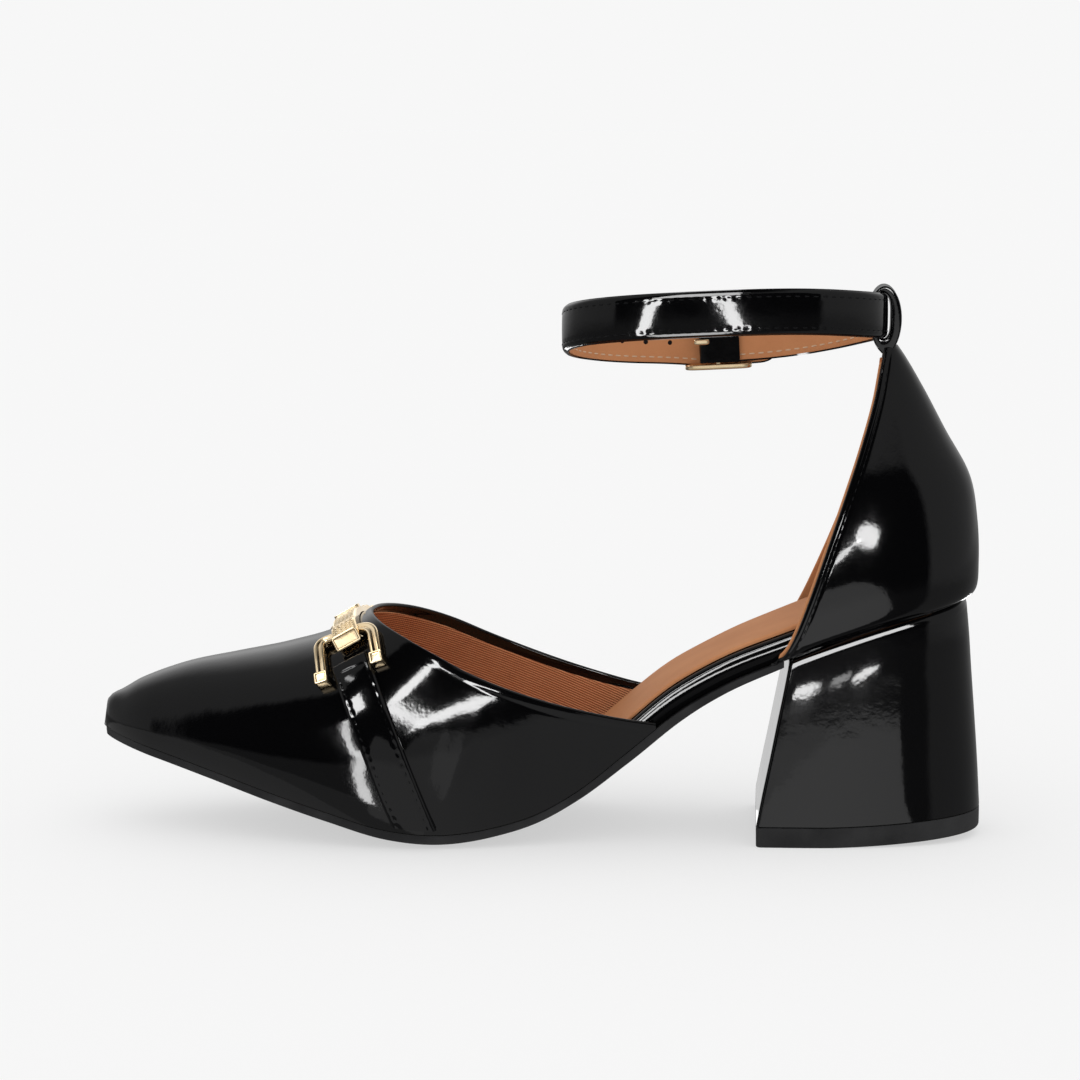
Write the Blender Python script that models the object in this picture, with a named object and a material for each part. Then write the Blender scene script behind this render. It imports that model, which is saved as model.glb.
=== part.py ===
"""Right-foot pump with a pointed toe, a block heel and an ankle strap.

Metres, +Z up, floor at z = 0. The toe points to -X, the inner side of the foot is -Y.
The upper is two hollow shells, a vamp and a counter, lasted on a covered insole board.
"""
import bmesh
import bpy
import numpy as np

COLLECTION = "block_heel_pump"

# Overall sizes of the last
TOE_X = -0.1233
SEAT_X = 0.0670
HEEL_X = 0.1187
TOE_ROUND = 0.0160
TOE_FRONT_ROUND = 0.0090
TOE_FRONT_FULLNESS = 2.8
SEAT_FULLNESS = 3.0
GAP = 0.0003
END_CROWDING = 0.55

# The feather line, where upper and board meet the sole: height and half-widths from the middle line
SOLE_COLUMNS = ("x", "edge_z", "half_in", "half_out")
SOLE_ROWS = (
    (-0.1233, 0.0272, 0.0095, 0.0095),
    (-0.1070, 0.0236, 0.0166, 0.0164),
    (-0.0900, 0.0194, 0.0239, 0.0230),
    (-0.0720, 0.0144, 0.0302, 0.0288),
    (-0.0560, 0.0100, 0.0340, 0.0324),
    (-0.0400, 0.0056, 0.0352, 0.0343),
    (-0.0270, 0.0042, 0.0346, 0.0349),
    (-0.0100, 0.0061, 0.0320, 0.0342),
    (0.0020, 0.0097, 0.0294, 0.0328),
    (0.0130, 0.0160, 0.0274, 0.0308),
    (0.0260, 0.0263, 0.0254, 0.0284),
    (0.0390, 0.0367, 0.0241, 0.0266),
    (0.0520, 0.0446, 0.0240, 0.0256),
    (0.0670, 0.0515, 0.0254, 0.0254),
    (0.0800, 0.0567, 0.0254, 0.0254),
    (0.1000, 0.0631, 0.0254, 0.0254),
    (0.1187, 0.0674, 0.0254, 0.0254),
)

# The vamp's ridge: height, sideways place, and the angle by which the walls lean out at the feather
RIDGE_COLUMNS = ("x", "ridge_z", "ridge_y", "lean")
RIDGE_ROWS = (
    (-0.1233, 0.0381, 0.0000, 0.20),
    (-0.1185, 0.0374, -0.0002, 0.22),
    (-0.1126, 0.0403, -0.0004, 0.24),
    (-0.1000, 0.0450, -0.0010, 0.28),
    (-0.0850, 0.0483, -0.0016, 0.32),
    (-0.0700, 0.0515, -0.0023, 0.35),
    (-0.0560, 0.0560, -0.0029, 0.37),
    (-0.0469, 0.0615, -0.0033, 0.38),
    (-0.0300, 0.0722, -0.0038, 0.38),
    (0.0000, 0.0890, -0.0042, 0.36),
    (0.0340, 0.1060, -0.0044, 0.30),
)

# The vamp's topline, from the throat back to the two rear points
VAMP_WALL = 0.0018
THROAT_X = -0.0469
VAMP_END_X = 0.0335
TOPLINE_COLUMNS = ("x", "top_z")
TOPLINE_ROWS = (
    (-0.0469, 0.0615),
    (-0.0360, 0.0573),
    (-0.0268, 0.0532),
    (-0.0178, 0.0487),
    (-0.0071, 0.0442),
    (0.0030, 0.0406),
    (0.0130, 0.0377),
    (0.0240, 0.0351),
    (0.0335, 0.0334),
)

# Outsole
OUTSOLE_INSET = 0.0005
OUTSOLE_END_X = 0.0683
OUTSOLE_COLUMNS = ("x", "thickness", "crown")
OUTSOLE_ROWS = (
    (-0.1233, 0.0022, 0.0004),
    (-0.0800, 0.0024, 0.0012),
    (-0.0270, 0.0025, 0.0019),
    (0.0100, 0.0025, 0.0010),
    (0.0320, 0.0033, 0.0005),
    (0.0480, 0.0025, 0.0003),
    (0.0683, 0.0019, 0.0002),
)

# Insole board and the sock on it
BOARD_INSET = 0.0028
BOARD_EDGE_ROUND = 0.0016
BOARD_COLUMNS = ("x", "thickness", "twist")
BOARD_ROWS = (
    (-0.1233, 0.0020, 0.000),
    (-0.0700, 0.0028, 0.000),
    (-0.0200, 0.0036, 0.000),
    (0.0130, 0.0056, 0.008),
    (0.0320, 0.0072, 0.018),
    (0.0450, 0.0066, 0.030),
    (0.0600, 0.0062, 0.026),
    (0.0900, 0.0057, 0.004),
    (0.1187, 0.0052, 0.000),
)
SOCK_INSET = 0.0050
SOCK_THICK = 0.0012
SOCK_FRONT_X = -0.1080

# Heel block and top lift: one row per level, from the seat down to the lift
HEEL_COLUMNS = ("level", "front_x", "rear_x", "half", "fullness")
HEEL_ROWS = (
    (0.00, 0.0694, 0.1188, 0.0246, 3.0),
    (0.12, 0.0684, 0.1195, 0.0248, 3.0),
    (0.30, 0.0668, 0.1203, 0.0249, 2.9),
    (0.55, 0.0647, 0.1215, 0.0252, 2.8),
    (0.80, 0.0626, 0.1226, 0.0256, 2.7),
    (1.00, 0.0611, 0.1233, 0.0260, 2.7),
)
LIFT_THICK = 0.0055
LIFT_PROUD = 0.0002
TREAD_FLAT_X = 0.0800
TREAD_RISE = 0.0024
TREAD_CURVE = 1.4

# Counter: one row per level from the seat to the neck of the strap loop
COUNTER_COLUMNS = (
    "level", "front_x_in", "front_x_out", "front_z", "back_x", "back_z", "half", "fullness", "wall")
COUNTER_ROWS = (
    (0.00, 0.0670, 0.0670, 0.0515, 0.1187, 0.0674, 0.0254, 3.0, 0.0021),
    (0.09, 0.0702, 0.0712, 0.0592, 0.1212, 0.0716, 0.0266, 2.8, 0.0021),
    (0.22, 0.0749, 0.0772, 0.0710, 0.1219, 0.0795, 0.0267, 2.6, 0.0021),
    (0.37, 0.0800, 0.0833, 0.0840, 0.1213, 0.0900, 0.0250, 2.4, 0.0021),
    (0.53, 0.0853, 0.0888, 0.0982, 0.1189, 0.1010, 0.0214, 2.2, 0.0021),
    (0.68, 0.0896, 0.0925, 0.1110, 0.1123, 0.1125, 0.0166, 2.1, 0.0020),
    (0.82, 0.0928, 0.0946, 0.1225, 0.1062, 0.1238, 0.0118, 2.0, 0.0019),
    (0.94, 0.0945, 0.0951, 0.1318, 0.1010, 0.1326, 0.0074, 2.0, 0.0015),
    (1.00, 0.0952, 0.0954, 0.1354, 0.0988, 0.1358, 0.0054, 2.0, 0.0011),
)

# How fast the counter's levels let go of the slope of the seat
COUNTER_SEAT_POWER = 6

# Strap loop: a teardrop band, point down, leaning forward
LOOP_BOTTOM = (0.0954, 0.1340)
LOOP_TOP = (0.0949, 0.1522)
LOOP_HALF_DEPTH = 0.0038
LOOP_HALF_WIDTH = 0.0046
LOOP_BAND = 0.0020
LOOP_SHARPNESS = 0.2

# Ankle strap: an oval ring in plan, its outer side hanging lower
STRAP_FRONT_X = 0.0078
STRAP_REAR_X = 0.0953
STRAP_HALF_Y = 0.0297
STRAP_FULLNESS = 2.25
STRAP_FRONT_Z = 0.1393
STRAP_REAR_Z = 0.1434
STRAP_TILT = 0.215
STRAP_LOOP_EASE = 0.5
STRAP_EASE_POWER = 6
STRAP_WIDTH = 0.0124
STRAP_THICK = 0.0024
STRAP_EDGE_ROUND = 0.0007
STRAP_START_TURN = 1.587
STRAP_TAIL_TURN = -4.98
STRAP_LIFT_TURNS = (-4.20, -4.58)
STRAP_TAIL_LIFT = 0.0031

# Buckle on the strap's outer side
BUCKLE_X = 0.0490
BUCKLE_SEARCH_TURN = 2.0
BUCKLE_LENGTH = 0.0190
BUCKLE_HEIGHT = 0.0166
BUCKLE_ROD = 0.0018
BUCKLE_INNER = -0.0009
BUCKLE_OUTER = 0.0064
PRONG_ROD = 0.0014
PRONG_ROOT = (0.0015, 0.0053)
PRONG_TIP = (-0.0102, 0.0076)

# The trim and its straps are laid out by distance over the skin from a middle line beside the ridge
TRIM_MIDDLE = 0.0030

# Straps on the vamp's sides: where their middle lines start, and their slant
SIDE_STRAP_TOP_X = -0.0503
SIDE_STRAP_TOP = 0.0272
SIDE_STRAP_SLANT = 0.325
SIDE_STRAP_HALF = 0.0049
SIDE_STRAP_THICK = 0.0015
SIDE_STRAP_FOOT = 0.9

# Metal trim across the vamp: a bar over the ridge and a stirrup at each end
TRIM_X = -0.0532
TRIM_SWEEP = 6.5
BAR_HALF = 0.0037
BAR_REACH = 0.0249
BAR_THICK = 0.0019
BRACKET_COLUMNS = ("x", "from_middle")
BRACKET_ROWS = (
    (-0.0566, 0.0319),
    (-0.0594, 0.0155),
    (-0.0440, 0.0201),
    (-0.0414, 0.0339),
)
BRACKET_CORNER = 0.0042
PATH_STEP = 0.0030
BRACKET_WIDE = 0.0032
BRACKET_HIGH = 0.0027
BRACKET_EASE = 0.55

PATENT_BLACK = (0.006, 0.006, 0.007)
RUBBER_BLACK = (0.022, 0.022, 0.023)
SOCK_TAN = (0.47, 0.27, 0.15)
GOLD = (0.83, 0.58, 0.26)


def table(columns, rows):
    """Columns of a station table by name."""
    return dict(zip(columns, np.array(rows).T))


def between(stations, values, at):
    """Smooth curve through (stations, values): cubic pieces whose slopes are three-point differences."""
    slope = np.gradient(values, stations)
    at = np.clip(at, stations[0], stations[-1])
    i = np.clip(np.searchsorted(stations, at, side="right") - 1, 0, len(stations) - 2)
    span = stations[i + 1] - stations[i]
    t = (at - stations[i]) / span
    rise = (1 + 2 * t) * (1 - t) ** 2 * values[i] + t * t * (3 - 2 * t) * values[i + 1]
    return rise + span * (t * (1 - t) ** 2 * slope[i] + t * t * (t - 1) * slope[i + 1])


SOLE = table(SOLE_COLUMNS, SOLE_ROWS)
RIDGE = table(RIDGE_COLUMNS, RIDGE_ROWS)
TOPLINE = table(TOPLINE_COLUMNS, TOPLINE_ROWS)
OUTSOLE = table(OUTSOLE_COLUMNS, OUTSOLE_ROWS)
BOARD = table(BOARD_COLUMNS, BOARD_ROWS)
HEEL = table(HEEL_COLUMNS, HEEL_ROWS)
COUNTER = table(COUNTER_COLUMNS, COUNTER_ROWS)
BRACKET = table(BRACKET_COLUMNS, BRACKET_ROWS)


def edge_z(x):
    """Height of the feather line."""
    return between(SOLE["x"], SOLE["edge_z"], x)


def rounded(distance, radius, power):
    """Factor rising from 0 at an end to 1 a radius away, along a superellipse."""
    part = np.clip(1 - distance / radius, 0, 1)
    return (1 - part ** power) ** (1 / power)


def half_width(x, column, inset):
    """Half-width of the foot outline moved in by an inset, closed round the toe and the seat."""
    toe = rounded(x - TOE_X - inset, TOE_ROUND, 2.0)
    seat = rounded(HEEL_X - inset - x, HEEL_X - SEAT_X - inset, SEAT_FULLNESS)
    return (between(SOLE["x"], SOLE[column], x) - inset) * toe * seat


def foot_stations(start, end, count):
    """Stations along the foot, closer together near both ends."""
    turn = np.linspace(0, np.pi, count)
    crowded = (1 - np.cos(turn)) / 2
    even = turn / np.pi
    return start + (end - start) * (END_CROWDING * crowded + (1 - END_CROWDING) * even)


def vamp_skin(x, theta, inset):
    """Point of the last's front: theta runs from the inner feather over the ridge to the outer feather."""
    lean = between(RIDGE["x"], RIDGE["lean"], x)
    ridge_y = between(RIDGE["x"], RIDGE["ridge_y"], x)
    front = rounded(x - TOE_X - inset, TOE_FRONT_ROUND, TOE_FRONT_FULLNESS)
    toe = rounded(x - TOE_X - inset, TOE_ROUND, 2.0)
    half_in = (between(SOLE["x"], SOLE["half_in"], x) - inset + ridge_y) * toe
    half_out = (between(SOLE["x"], SOLE["half_out"], x) - inset - ridge_y) * toe
    half = np.where(theta < np.pi / 2, half_in, half_out)
    height = (between(RIDGE["x"], RIDGE["ridge_z"], x) - inset - edge_z(x)) * front
    y = ridge_y * toe - half * np.cos(theta) / np.cos(lean)
    z = edge_z(x) + height * (np.sin(theta) + np.sin(lean)) / (1 + np.sin(lean))
    return np.stack(np.broadcast_arrays(x, y, z), axis=-1)


def vamp_angle(x, z):
    """Angle on the inner side at which the vamp's skin reaches a height."""
    lean = between(RIDGE["x"], RIDGE["lean"], x)
    height = between(RIDGE["x"], RIDGE["ridge_z"], x) - edge_z(x)
    sine = (z - edge_z(x)) / height * (1 + np.sin(lean)) - np.sin(lean)
    return np.arcsin(np.clip(sine, -1, 1))


def vamp_offset(x, theta, lift):
    """Point a given distance outside the vamp's skin, along its normal."""
    step = 1e-4
    along = vamp_skin(x + step, theta, 0) - vamp_skin(x - step, theta, 0)
    round_ = vamp_skin(x, theta + step, 0) - vamp_skin(x, theta - step, 0)
    normal = np.cross(along, round_)
    normal /= np.linalg.norm(normal, axis=-1, keepdims=True)
    return vamp_skin(x, theta, 0) + normal * lift


def on_vamp(x, from_middle, lift):
    """Point above the vamp's skin, a signed distance over it from the trim's middle, inner side negative."""
    x, from_middle = np.broadcast_arrays(x, from_middle)
    turns = np.linspace(-0.5, np.pi + 0.5, 641)
    theta = np.empty_like(x)
    for place in np.ndindex(x.shape):
        section = vamp_skin(x[place], turns, 0)
        walked = np.append(0, np.cumsum(np.linalg.norm(np.diff(section, axis=0), axis=1)))
        walked -= np.interp(np.pi / 2, turns, walked) + TRIM_MIDDLE
        theta[place] = np.interp(from_middle[place], walked, turns)
    return vamp_offset(x, theta, lift)


def add_part(name, build, material, smooth=True):
    """One named object whose mesh is filled by a building function."""
    bm = bmesh.new()
    build(bm)
    bmesh.ops.remove_doubles(bm, verts=bm.verts, dist=1e-6)
    bmesh.ops.dissolve_degenerate(bm, edges=bm.edges, dist=1e-7)
    bmesh.ops.recalc_face_normals(bm, faces=bm.faces)
    for face in bm.faces:
        face.smooth = smooth
    mesh = bpy.data.meshes.new(name)
    bm.to_mesh(mesh)
    bm.free()
    obj = bpy.data.objects.new(name, mesh)
    if material is not None:
        mesh.materials.append(material)
    collection.objects.link(obj)
    return obj


def add_grid(bm, points):
    """Quads over a grid of points (rows, columns, 3); returns the vertex grid."""
    verts = [[bm.verts.new(p) for p in row] for row in points]
    join_rows(bm, verts)
    return verts


def join_rows(bm, verts):
    """Quads between neighbouring rows of vertices."""
    for upper, lower in zip(verts[:-1], verts[1:]):
        for a, b, c, d in zip(upper[:-1], upper[1:], lower[1:], lower[:-1]):
            bm.faces.new((a, b, c, d))


def thick_sheet(bm, outer, inner, rims=("first_row", "last_row", "first_column", "last_column")):
    """Two grids of one shape as the skins of a sheet, with walls along the named rims."""
    top = add_grid(bm, outer)
    under = add_grid(bm, inner)
    if "first_row" in rims:
        join_rows(bm, [top[0], under[0]])
    if "last_row" in rims:
        join_rows(bm, [top[-1], under[-1]])
    if "first_column" in rims:
        join_rows(bm, [[row[0] for row in top], [row[0] for row in under]])
    if "last_column" in rims:
        join_rows(bm, [[row[-1] for row in top], [row[-1] for row in under]])


def ring_sweep(bm, rings, closed=False):
    """Closed sections joined in order, capped at both ends unless the run closes on itself."""
    loops = [[bm.verts.new(p) for p in ring] for ring in rings]
    runs = [loop + loop[:1] for loop in loops]
    join_rows(bm, runs + runs[:1] if closed else runs)
    if not closed:
        bm.faces.new(loops[0])
        bm.faces.new(loops[-1])


def stacked_block(bm, near, far):
    """Block with a flat front: levels of near and far side points meeting at the back, bridged across."""
    near_verts = add_grid(bm, near)
    far_verts = add_grid(bm, far)
    join_rows(bm, [[row[0] for row in near_verts], [row[0] for row in far_verts]])
    join_rows(bm, [near_verts[0], far_verts[0]])
    join_rows(bm, [near_verts[-1], far_verts[-1]])


def plain_material(name, colour, roughness, metallic, coat=0.0):
    """Principled material with one colour."""
    material = bpy.data.materials.new(name)
    material.use_nodes = True
    shader = material.node_tree.nodes["Principled BSDF"]
    shader.inputs["Base Color"].default_value = (*colour, 1.0)
    shader.inputs["Roughness"].default_value = roughness
    shader.inputs["Metallic"].default_value = metallic
    shader.inputs["Coat Weight"].default_value = coat
    return material


def across(half_in, half_out, shares):
    """Sideways places at signed shares of the two half-widths."""
    return np.where(shares < 0, shares * half_in[:, None], shares * half_out[:, None])


def outsole(bm):
    """Thin sole: flat across on top, crowned below and worn flat on the floor at the ball."""
    x = foot_stations(TOE_X + OUTSOLE_INSET, OUTSOLE_END_X, 42)
    shares = np.array((-1, -0.93, -0.78, -0.5, 0, 0.5, 0.78, 0.93, 1))
    half_in = half_width(x, "half_in", OUTSOLE_INSET)
    half_out = half_width(x, "half_out", OUTSOLE_INSET)
    y = across(half_in, half_out, shares)
    top = np.repeat((edge_z(x) - GAP)[:, None], len(shares), axis=1)
    thickness = between(OUTSOLE["x"], OUTSOLE["thickness"], x)[:, None]
    toe = rounded(x - TOE_X - OUTSOLE_INSET, TOE_ROUND, 2.0)
    crown = (between(OUTSOLE["x"], OUTSOLE["crown"], x) * toe)[:, None]
    bottom = np.maximum(top - thickness - crown * (1 - shares ** 4), 0)
    along = np.repeat(x[:, None], len(shares), axis=1)
    thick_sheet(bm, np.stack((along, y, top), -1), np.stack((along, y, bottom), -1))


def board_top(x, y):
    """Height of the board's upper face, higher on the inner side along the waist."""
    middle = edge_z(x) + between(BOARD["x"], BOARD["thickness"], x)
    return middle - between(BOARD["x"], BOARD["twist"], x) * y


def insole_board(bm):
    """Board along the whole foot, its upper edge rounded."""
    x = foot_stations(TOE_X + BOARD_INSET, HEEL_X - BOARD_INSET, 40)
    shares = np.array((-1, -0.97, -0.9, -0.45, 0.45, 0.9, 0.97, 1))
    half_in = half_width(x, "half_in", BOARD_INSET)
    half_out = half_width(x, "half_out", BOARD_INSET)
    y = across(half_in, half_out, shares)
    half = np.where(shares < 0, half_in[:, None], half_out[:, None])
    into_round = np.clip(1 - (half - abs(y)) / BOARD_EDGE_ROUND, 0, 1)
    drop = np.minimum(BOARD_EDGE_ROUND, half) * (1 - np.sqrt(1 - into_round ** 2))
    along = np.repeat(x[:, None], len(shares), axis=1)
    top = board_top(along, y) - drop
    thick_sheet(bm, np.stack((along, y, top), -1), np.stack((along, y, edge_z(along)), -1))


def insole(bm):
    """Sock: a thin sheet on the board."""
    x = foot_stations(SOCK_FRONT_X, HEEL_X - SOCK_INSET, 34)
    shares = np.array((-1, -0.5, 0, 0.5, 1))
    front = rounded(x - SOCK_FRONT_X, TOE_ROUND, 2.0)
    half_in = half_width(x, "half_in", SOCK_INSET) * front
    half_out = half_width(x, "half_out", SOCK_INSET) * front
    y = across(half_in, half_out, shares)
    along = np.repeat(x[:, None], len(shares), axis=1)
    under = board_top(along, y) + GAP
    thick_sheet(bm, np.stack((along, y, under + SOCK_THICK), -1), np.stack((along, y, under), -1))


def vamp(bm):
    """Hollow front shell, whole ahead of the throat and two side walls behind it."""
    ahead = TOE_X + (THROAT_X - TOE_X) * np.linspace(0, 1, 22) ** 1.5
    behind = THROAT_X + (VAMP_END_X - THROAT_X) * np.linspace(0, 1, 13) ** 1.5
    reach = VAMP_END_X - TOE_X
    share = np.linspace(0, 1, 9)

    def skin(x, theta, inset):
        """Outer or inner skin; the inner one starts a wall's thickness behind the toe."""
        return vamp_skin(x + inset * (VAMP_END_X - x) / reach, theta, inset)

    lean = between(RIDGE["x"], RIDGE["lean"], ahead)[:, None]
    over = np.concatenate((share / 2, 1 - share[-2::-1] / 2))
    theta = -lean + (np.pi + 2 * lean) * over
    x = np.repeat(ahead[:, None], len(over), axis=1)
    thick_sheet(bm, skin(x, theta, 0), skin(x, theta, VAMP_WALL), ("first_column", "last_column"))

    lean = between(RIDGE["x"], RIDGE["lean"], behind)[:, None]
    top = vamp_angle(behind, between(TOPLINE["x"], TOPLINE["top_z"], behind))[:, None]
    top[0] = np.pi / 2
    theta = -lean + (top + lean) * share
    x = np.repeat(behind[:, None], len(share), axis=1)
    rims = ("last_row", "first_column", "last_column")
    thick_sheet(bm, skin(x, theta, 0), skin(x, theta, VAMP_WALL), rims)
    thick_sheet(bm, skin(x, np.pi - theta, 0), skin(x, np.pi - theta, VAMP_WALL), rims)


def counter_skin(level, turn):
    """Outer point of the counter: level from seat to neck, turn from the inner to the outer front edge."""
    def row(name):
        return between(COUNTER["level"], COUNTER[name], level)

    power = 2 / row("fullness")
    deep = np.clip(np.cos(turn), 0, 1) ** power
    front_x = np.where(turn < 0, row("front_x_in"), row("front_x_out"))
    x = front_x + (row("back_x") - front_x) * deep
    y = row("half") * np.sign(np.sin(turn)) * abs(np.sin(turn)) ** power
    slant = row("front_z") + (row("back_z") - row("front_z")) * deep
    seat = (1 - level) ** COUNTER_SEAT_POWER * (edge_z(x) - slant)
    return np.stack((x, y, slant + seat), axis=-1)


def counter(bm):
    """Hollow back shell; its inner skin is moved in along the normals."""
    level = np.linspace(0, 1, 17)[:, None]
    turn = np.linspace(-np.pi / 2, np.pi / 2, 27)[None, :]
    level, turn = np.broadcast_arrays(level, turn)
    outer = counter_skin(level, turn)
    up = np.gradient(outer, axis=0)
    round_ = np.gradient(outer, axis=1)
    normal = np.cross(round_, up)
    normal[:1, :, 2] = 0
    normal /= np.linalg.norm(normal, axis=-1, keepdims=True)
    inner = outer - between(COUNTER["level"], COUNTER["wall"], level)[..., None] * normal
    inner[0, :, 2] = edge_z(inner[0, :, 0])
    thick_sheet(bm, outer, inner)


def strap_loop(bm):
    """Teardrop band: x goes out by sin(t) times a power of sin(t/2), z by cos(t), narrow at the bottom."""
    turn = np.linspace(0, 2 * np.pi, 29)[:-1]
    rise = (1 - np.cos(turn)) / 2
    bulge = np.sin(turn) * np.sin(turn / 2) ** LOOP_SHARPNESS
    (low_x, low_z), (high_x, high_z) = LOOP_BOTTOM, LOOP_TOP

    def outline(grow):
        """Teardrop grown on all sides."""
        x = low_x + (high_x - low_x) * rise + (LOOP_HALF_DEPTH + grow) * bulge
        z = low_z - grow + (high_z - low_z + 2 * grow) * rise
        return x, z

    sections = []
    for grow, side in ((-LOOP_BAND / 2, -1), (-LOOP_BAND / 2, 1), (LOOP_BAND / 2, 1), (LOOP_BAND / 2, -1)):
        x, z = outline(grow)
        sections.append(np.stack((x, np.full_like(x, side * LOOP_HALF_WIDTH), z), -1))
    ring_sweep(bm, np.stack(sections, axis=1), closed=True)


def heel_side(sign, level):
    """Side points of the heel at a level, from the breast to the back."""
    turn = np.linspace(np.pi / 2, 0, 15)[None, :]
    level = np.asarray(level, dtype=float)[:, None]

    def row(name):
        return between(HEEL["level"], HEEL[name], level)

    power = 2 / row("fullness")
    x = row("front_x") + (row("rear_x") - row("front_x")) * np.clip(np.cos(turn), 0, 1) ** power
    y = sign * row("half") * np.sin(turn) ** power
    return x, y


def tread_rise(x):
    """Lift of the tread towards the back, flat under the front of the heel."""
    part = np.clip((x - TREAD_FLAT_X) / (HEEL["rear_x"][-1] - TREAD_FLAT_X), 0, 1)
    return TREAD_RISE * part ** TREAD_CURVE


def heel_block(bm):
    """Flared block between the seat and the lift."""
    level = np.linspace(0, 1, 8)
    sides = []
    for sign in (-1, 1):
        x, y = heel_side(sign, level)
        top = edge_z(x) - GAP
        bottom = LIFT_THICK + GAP + tread_rise(x)
        z = top + (bottom - top) * level[:, None]
        sides.append(np.stack((x, y, z), -1))
    stacked_block(bm, *sides)


def top_lift(bm):
    """Tread of even thickness under the heel."""
    sides = []
    for sign in (-1, 1):
        x, y = heel_side(sign, (1.0, 1.0))
        y = y * (1 + LIFT_PROUD / HEEL["half"][-1])
        z = np.array((LIFT_THICK, 0.0))[:, None] + tread_rise(x)
        sides.append(np.stack((x, y, z), -1))
    stacked_block(bm, *sides)


def strap_path(turn):
    """Middle line of the ankle strap; the turn goes from its end round the heel, inner side and front."""
    power = 2 / STRAP_FULLNESS
    middle_x = (STRAP_FRONT_X + STRAP_REAR_X) / 2
    half_x = (STRAP_REAR_X - STRAP_FRONT_X) / 2
    first, last = STRAP_LIFT_TURNS
    part = np.clip((turn - first) / (last - first), 0, 1)
    lift = STRAP_TAIL_LIFT * part * part * (3 - 2 * part)
    x = middle_x + half_x * np.sign(np.cos(turn)) * abs(np.cos(turn)) ** power
    y = STRAP_HALF_Y * np.sign(np.sin(turn)) * abs(np.sin(turn)) ** power
    back = (x - STRAP_FRONT_X) / (2 * half_x)
    tilt = STRAP_TILT * (1 - STRAP_LOOP_EASE * back ** STRAP_EASE_POWER)
    z = STRAP_FRONT_Z + (STRAP_REAR_Z - STRAP_FRONT_Z) * back ** 2 - tilt * y
    return np.stack((x, y * (1 + lift / STRAP_HALF_Y), z), axis=-1)


def strap_frame(turn):
    """Outward and upward directions across the strap."""
    step = 1e-4
    along = strap_path(turn + step) - strap_path(turn - step)
    out = np.stack((-along[..., 1], along[..., 0], np.zeros_like(turn)), -1)
    out /= np.linalg.norm(out, axis=-1, keepdims=True)
    up = np.cross(along, out)
    up /= np.linalg.norm(up, axis=-1, keepdims=True)
    return out * np.sign(STRAP_TAIL_TURN - STRAP_START_TURN) * -1, up * np.sign(up[..., 2:])


def strap_section(half_width_, half_thick, edge):
    """Outline of a flat strap with eased edges as (outward, upward) pairs."""
    return ((half_thick, half_width_ - edge), (half_thick - edge, half_width_),
            (edge - half_thick, half_width_), (-half_thick, half_width_ - edge),
            (-half_thick, edge - half_width_), (edge - half_thick, -half_width_),
            (half_thick - edge, -half_width_), (half_thick, edge - half_width_))


def ankle_strap(bm):
    """One strap from the buckle round the heel, the inner side and the front to its overlapping tail."""
    turn = np.linspace(STRAP_START_TURN, STRAP_TAIL_TURN, 74)
    middle = strap_path(turn)
    out, up = strap_frame(turn)
    section = strap_section(STRAP_WIDTH / 2, STRAP_THICK / 2, STRAP_EDGE_ROUND)
    rings = [middle + a * out + b * up for a, b in section]
    ring_sweep(bm, np.stack(rings, axis=1))


def buckle_place():
    """Where the buckle sits on the strap's outer side, and the strap's slope there."""
    turns = np.linspace(STRAP_START_TURN, BUCKLE_SEARCH_TURN, 400)
    path = strap_path(turns)
    nearest = np.argmin(abs(path[:, 0] - BUCKLE_X))
    before, after = path[nearest - 1], path[nearest + 1]
    return path[nearest], (after[2] - before[2]) / (after[0] - before[0])


def box(bm, low, high):
    """Box between two corners."""
    (x0, y0, z0), (x1, y1, z1) = low, high
    ring_sweep(bm, [[(x0, y0, z), (x1, y0, z), (x1, y1, z), (x0, y1, z)] for z in (z0, z1)])


def vamp_strap(bm, side):
    """Strap lying on the vamp's skin from the trim down to the sole, slanting back."""
    down = np.linspace(0, 1, 17)[:, None]
    share = np.linspace(-1, 1, 6)[None, :]
    foot = SIDE_STRAP_TOP
    for _ in range(3):
        slant = SIDE_STRAP_SLANT * (foot - SIDE_STRAP_TOP) * down
        x = SIDE_STRAP_TOP_X + slant + SIDE_STRAP_HALF * share
        foot = feather_distance(x[-1:], side)
    walked = SIDE_STRAP_TOP + (foot - SIDE_STRAP_TOP) * down
    thick_sheet(bm, *(on_vamp(x, side * walked, lift) for lift in (GAP + SIDE_STRAP_THICK, GAP)))


def feather_distance(x, side):
    """Distance over the skin from the trim's middle almost down to the feather."""
    lean = between(RIDGE["x"], RIDGE["lean"], x)[..., None]
    theta = np.pi / 2 - (np.pi / 2 + SIDE_STRAP_FOOT * lean) * np.linspace(0, 1, 200)
    if side > 0:
        theta = np.pi - theta
    section = vamp_skin(x[..., None] * np.ones_like(theta), theta, 0)
    return np.linalg.norm(np.diff(section, axis=-2), axis=-1).sum(axis=-1) - side * TRIM_MIDDLE


def trim_bar(bm):
    """Bar over the ridge, cast in one with the brackets' cross rods."""
    walked = np.linspace(-BAR_REACH, BAR_REACH, 15)
    outline = ((-1, 0), (1, 0), (1, 0.7), (0.8, 1), (-0.8, 1), (-1, 0.7))
    middle = TRIM_X + TRIM_SWEEP * walked ** 2
    rings = []
    for share, height in outline:
        rings.append(on_vamp(middle + BAR_HALF * share, walked, GAP + BAR_THICK * height))
    ring_sweep(bm, np.stack(rings, axis=1))


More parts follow.
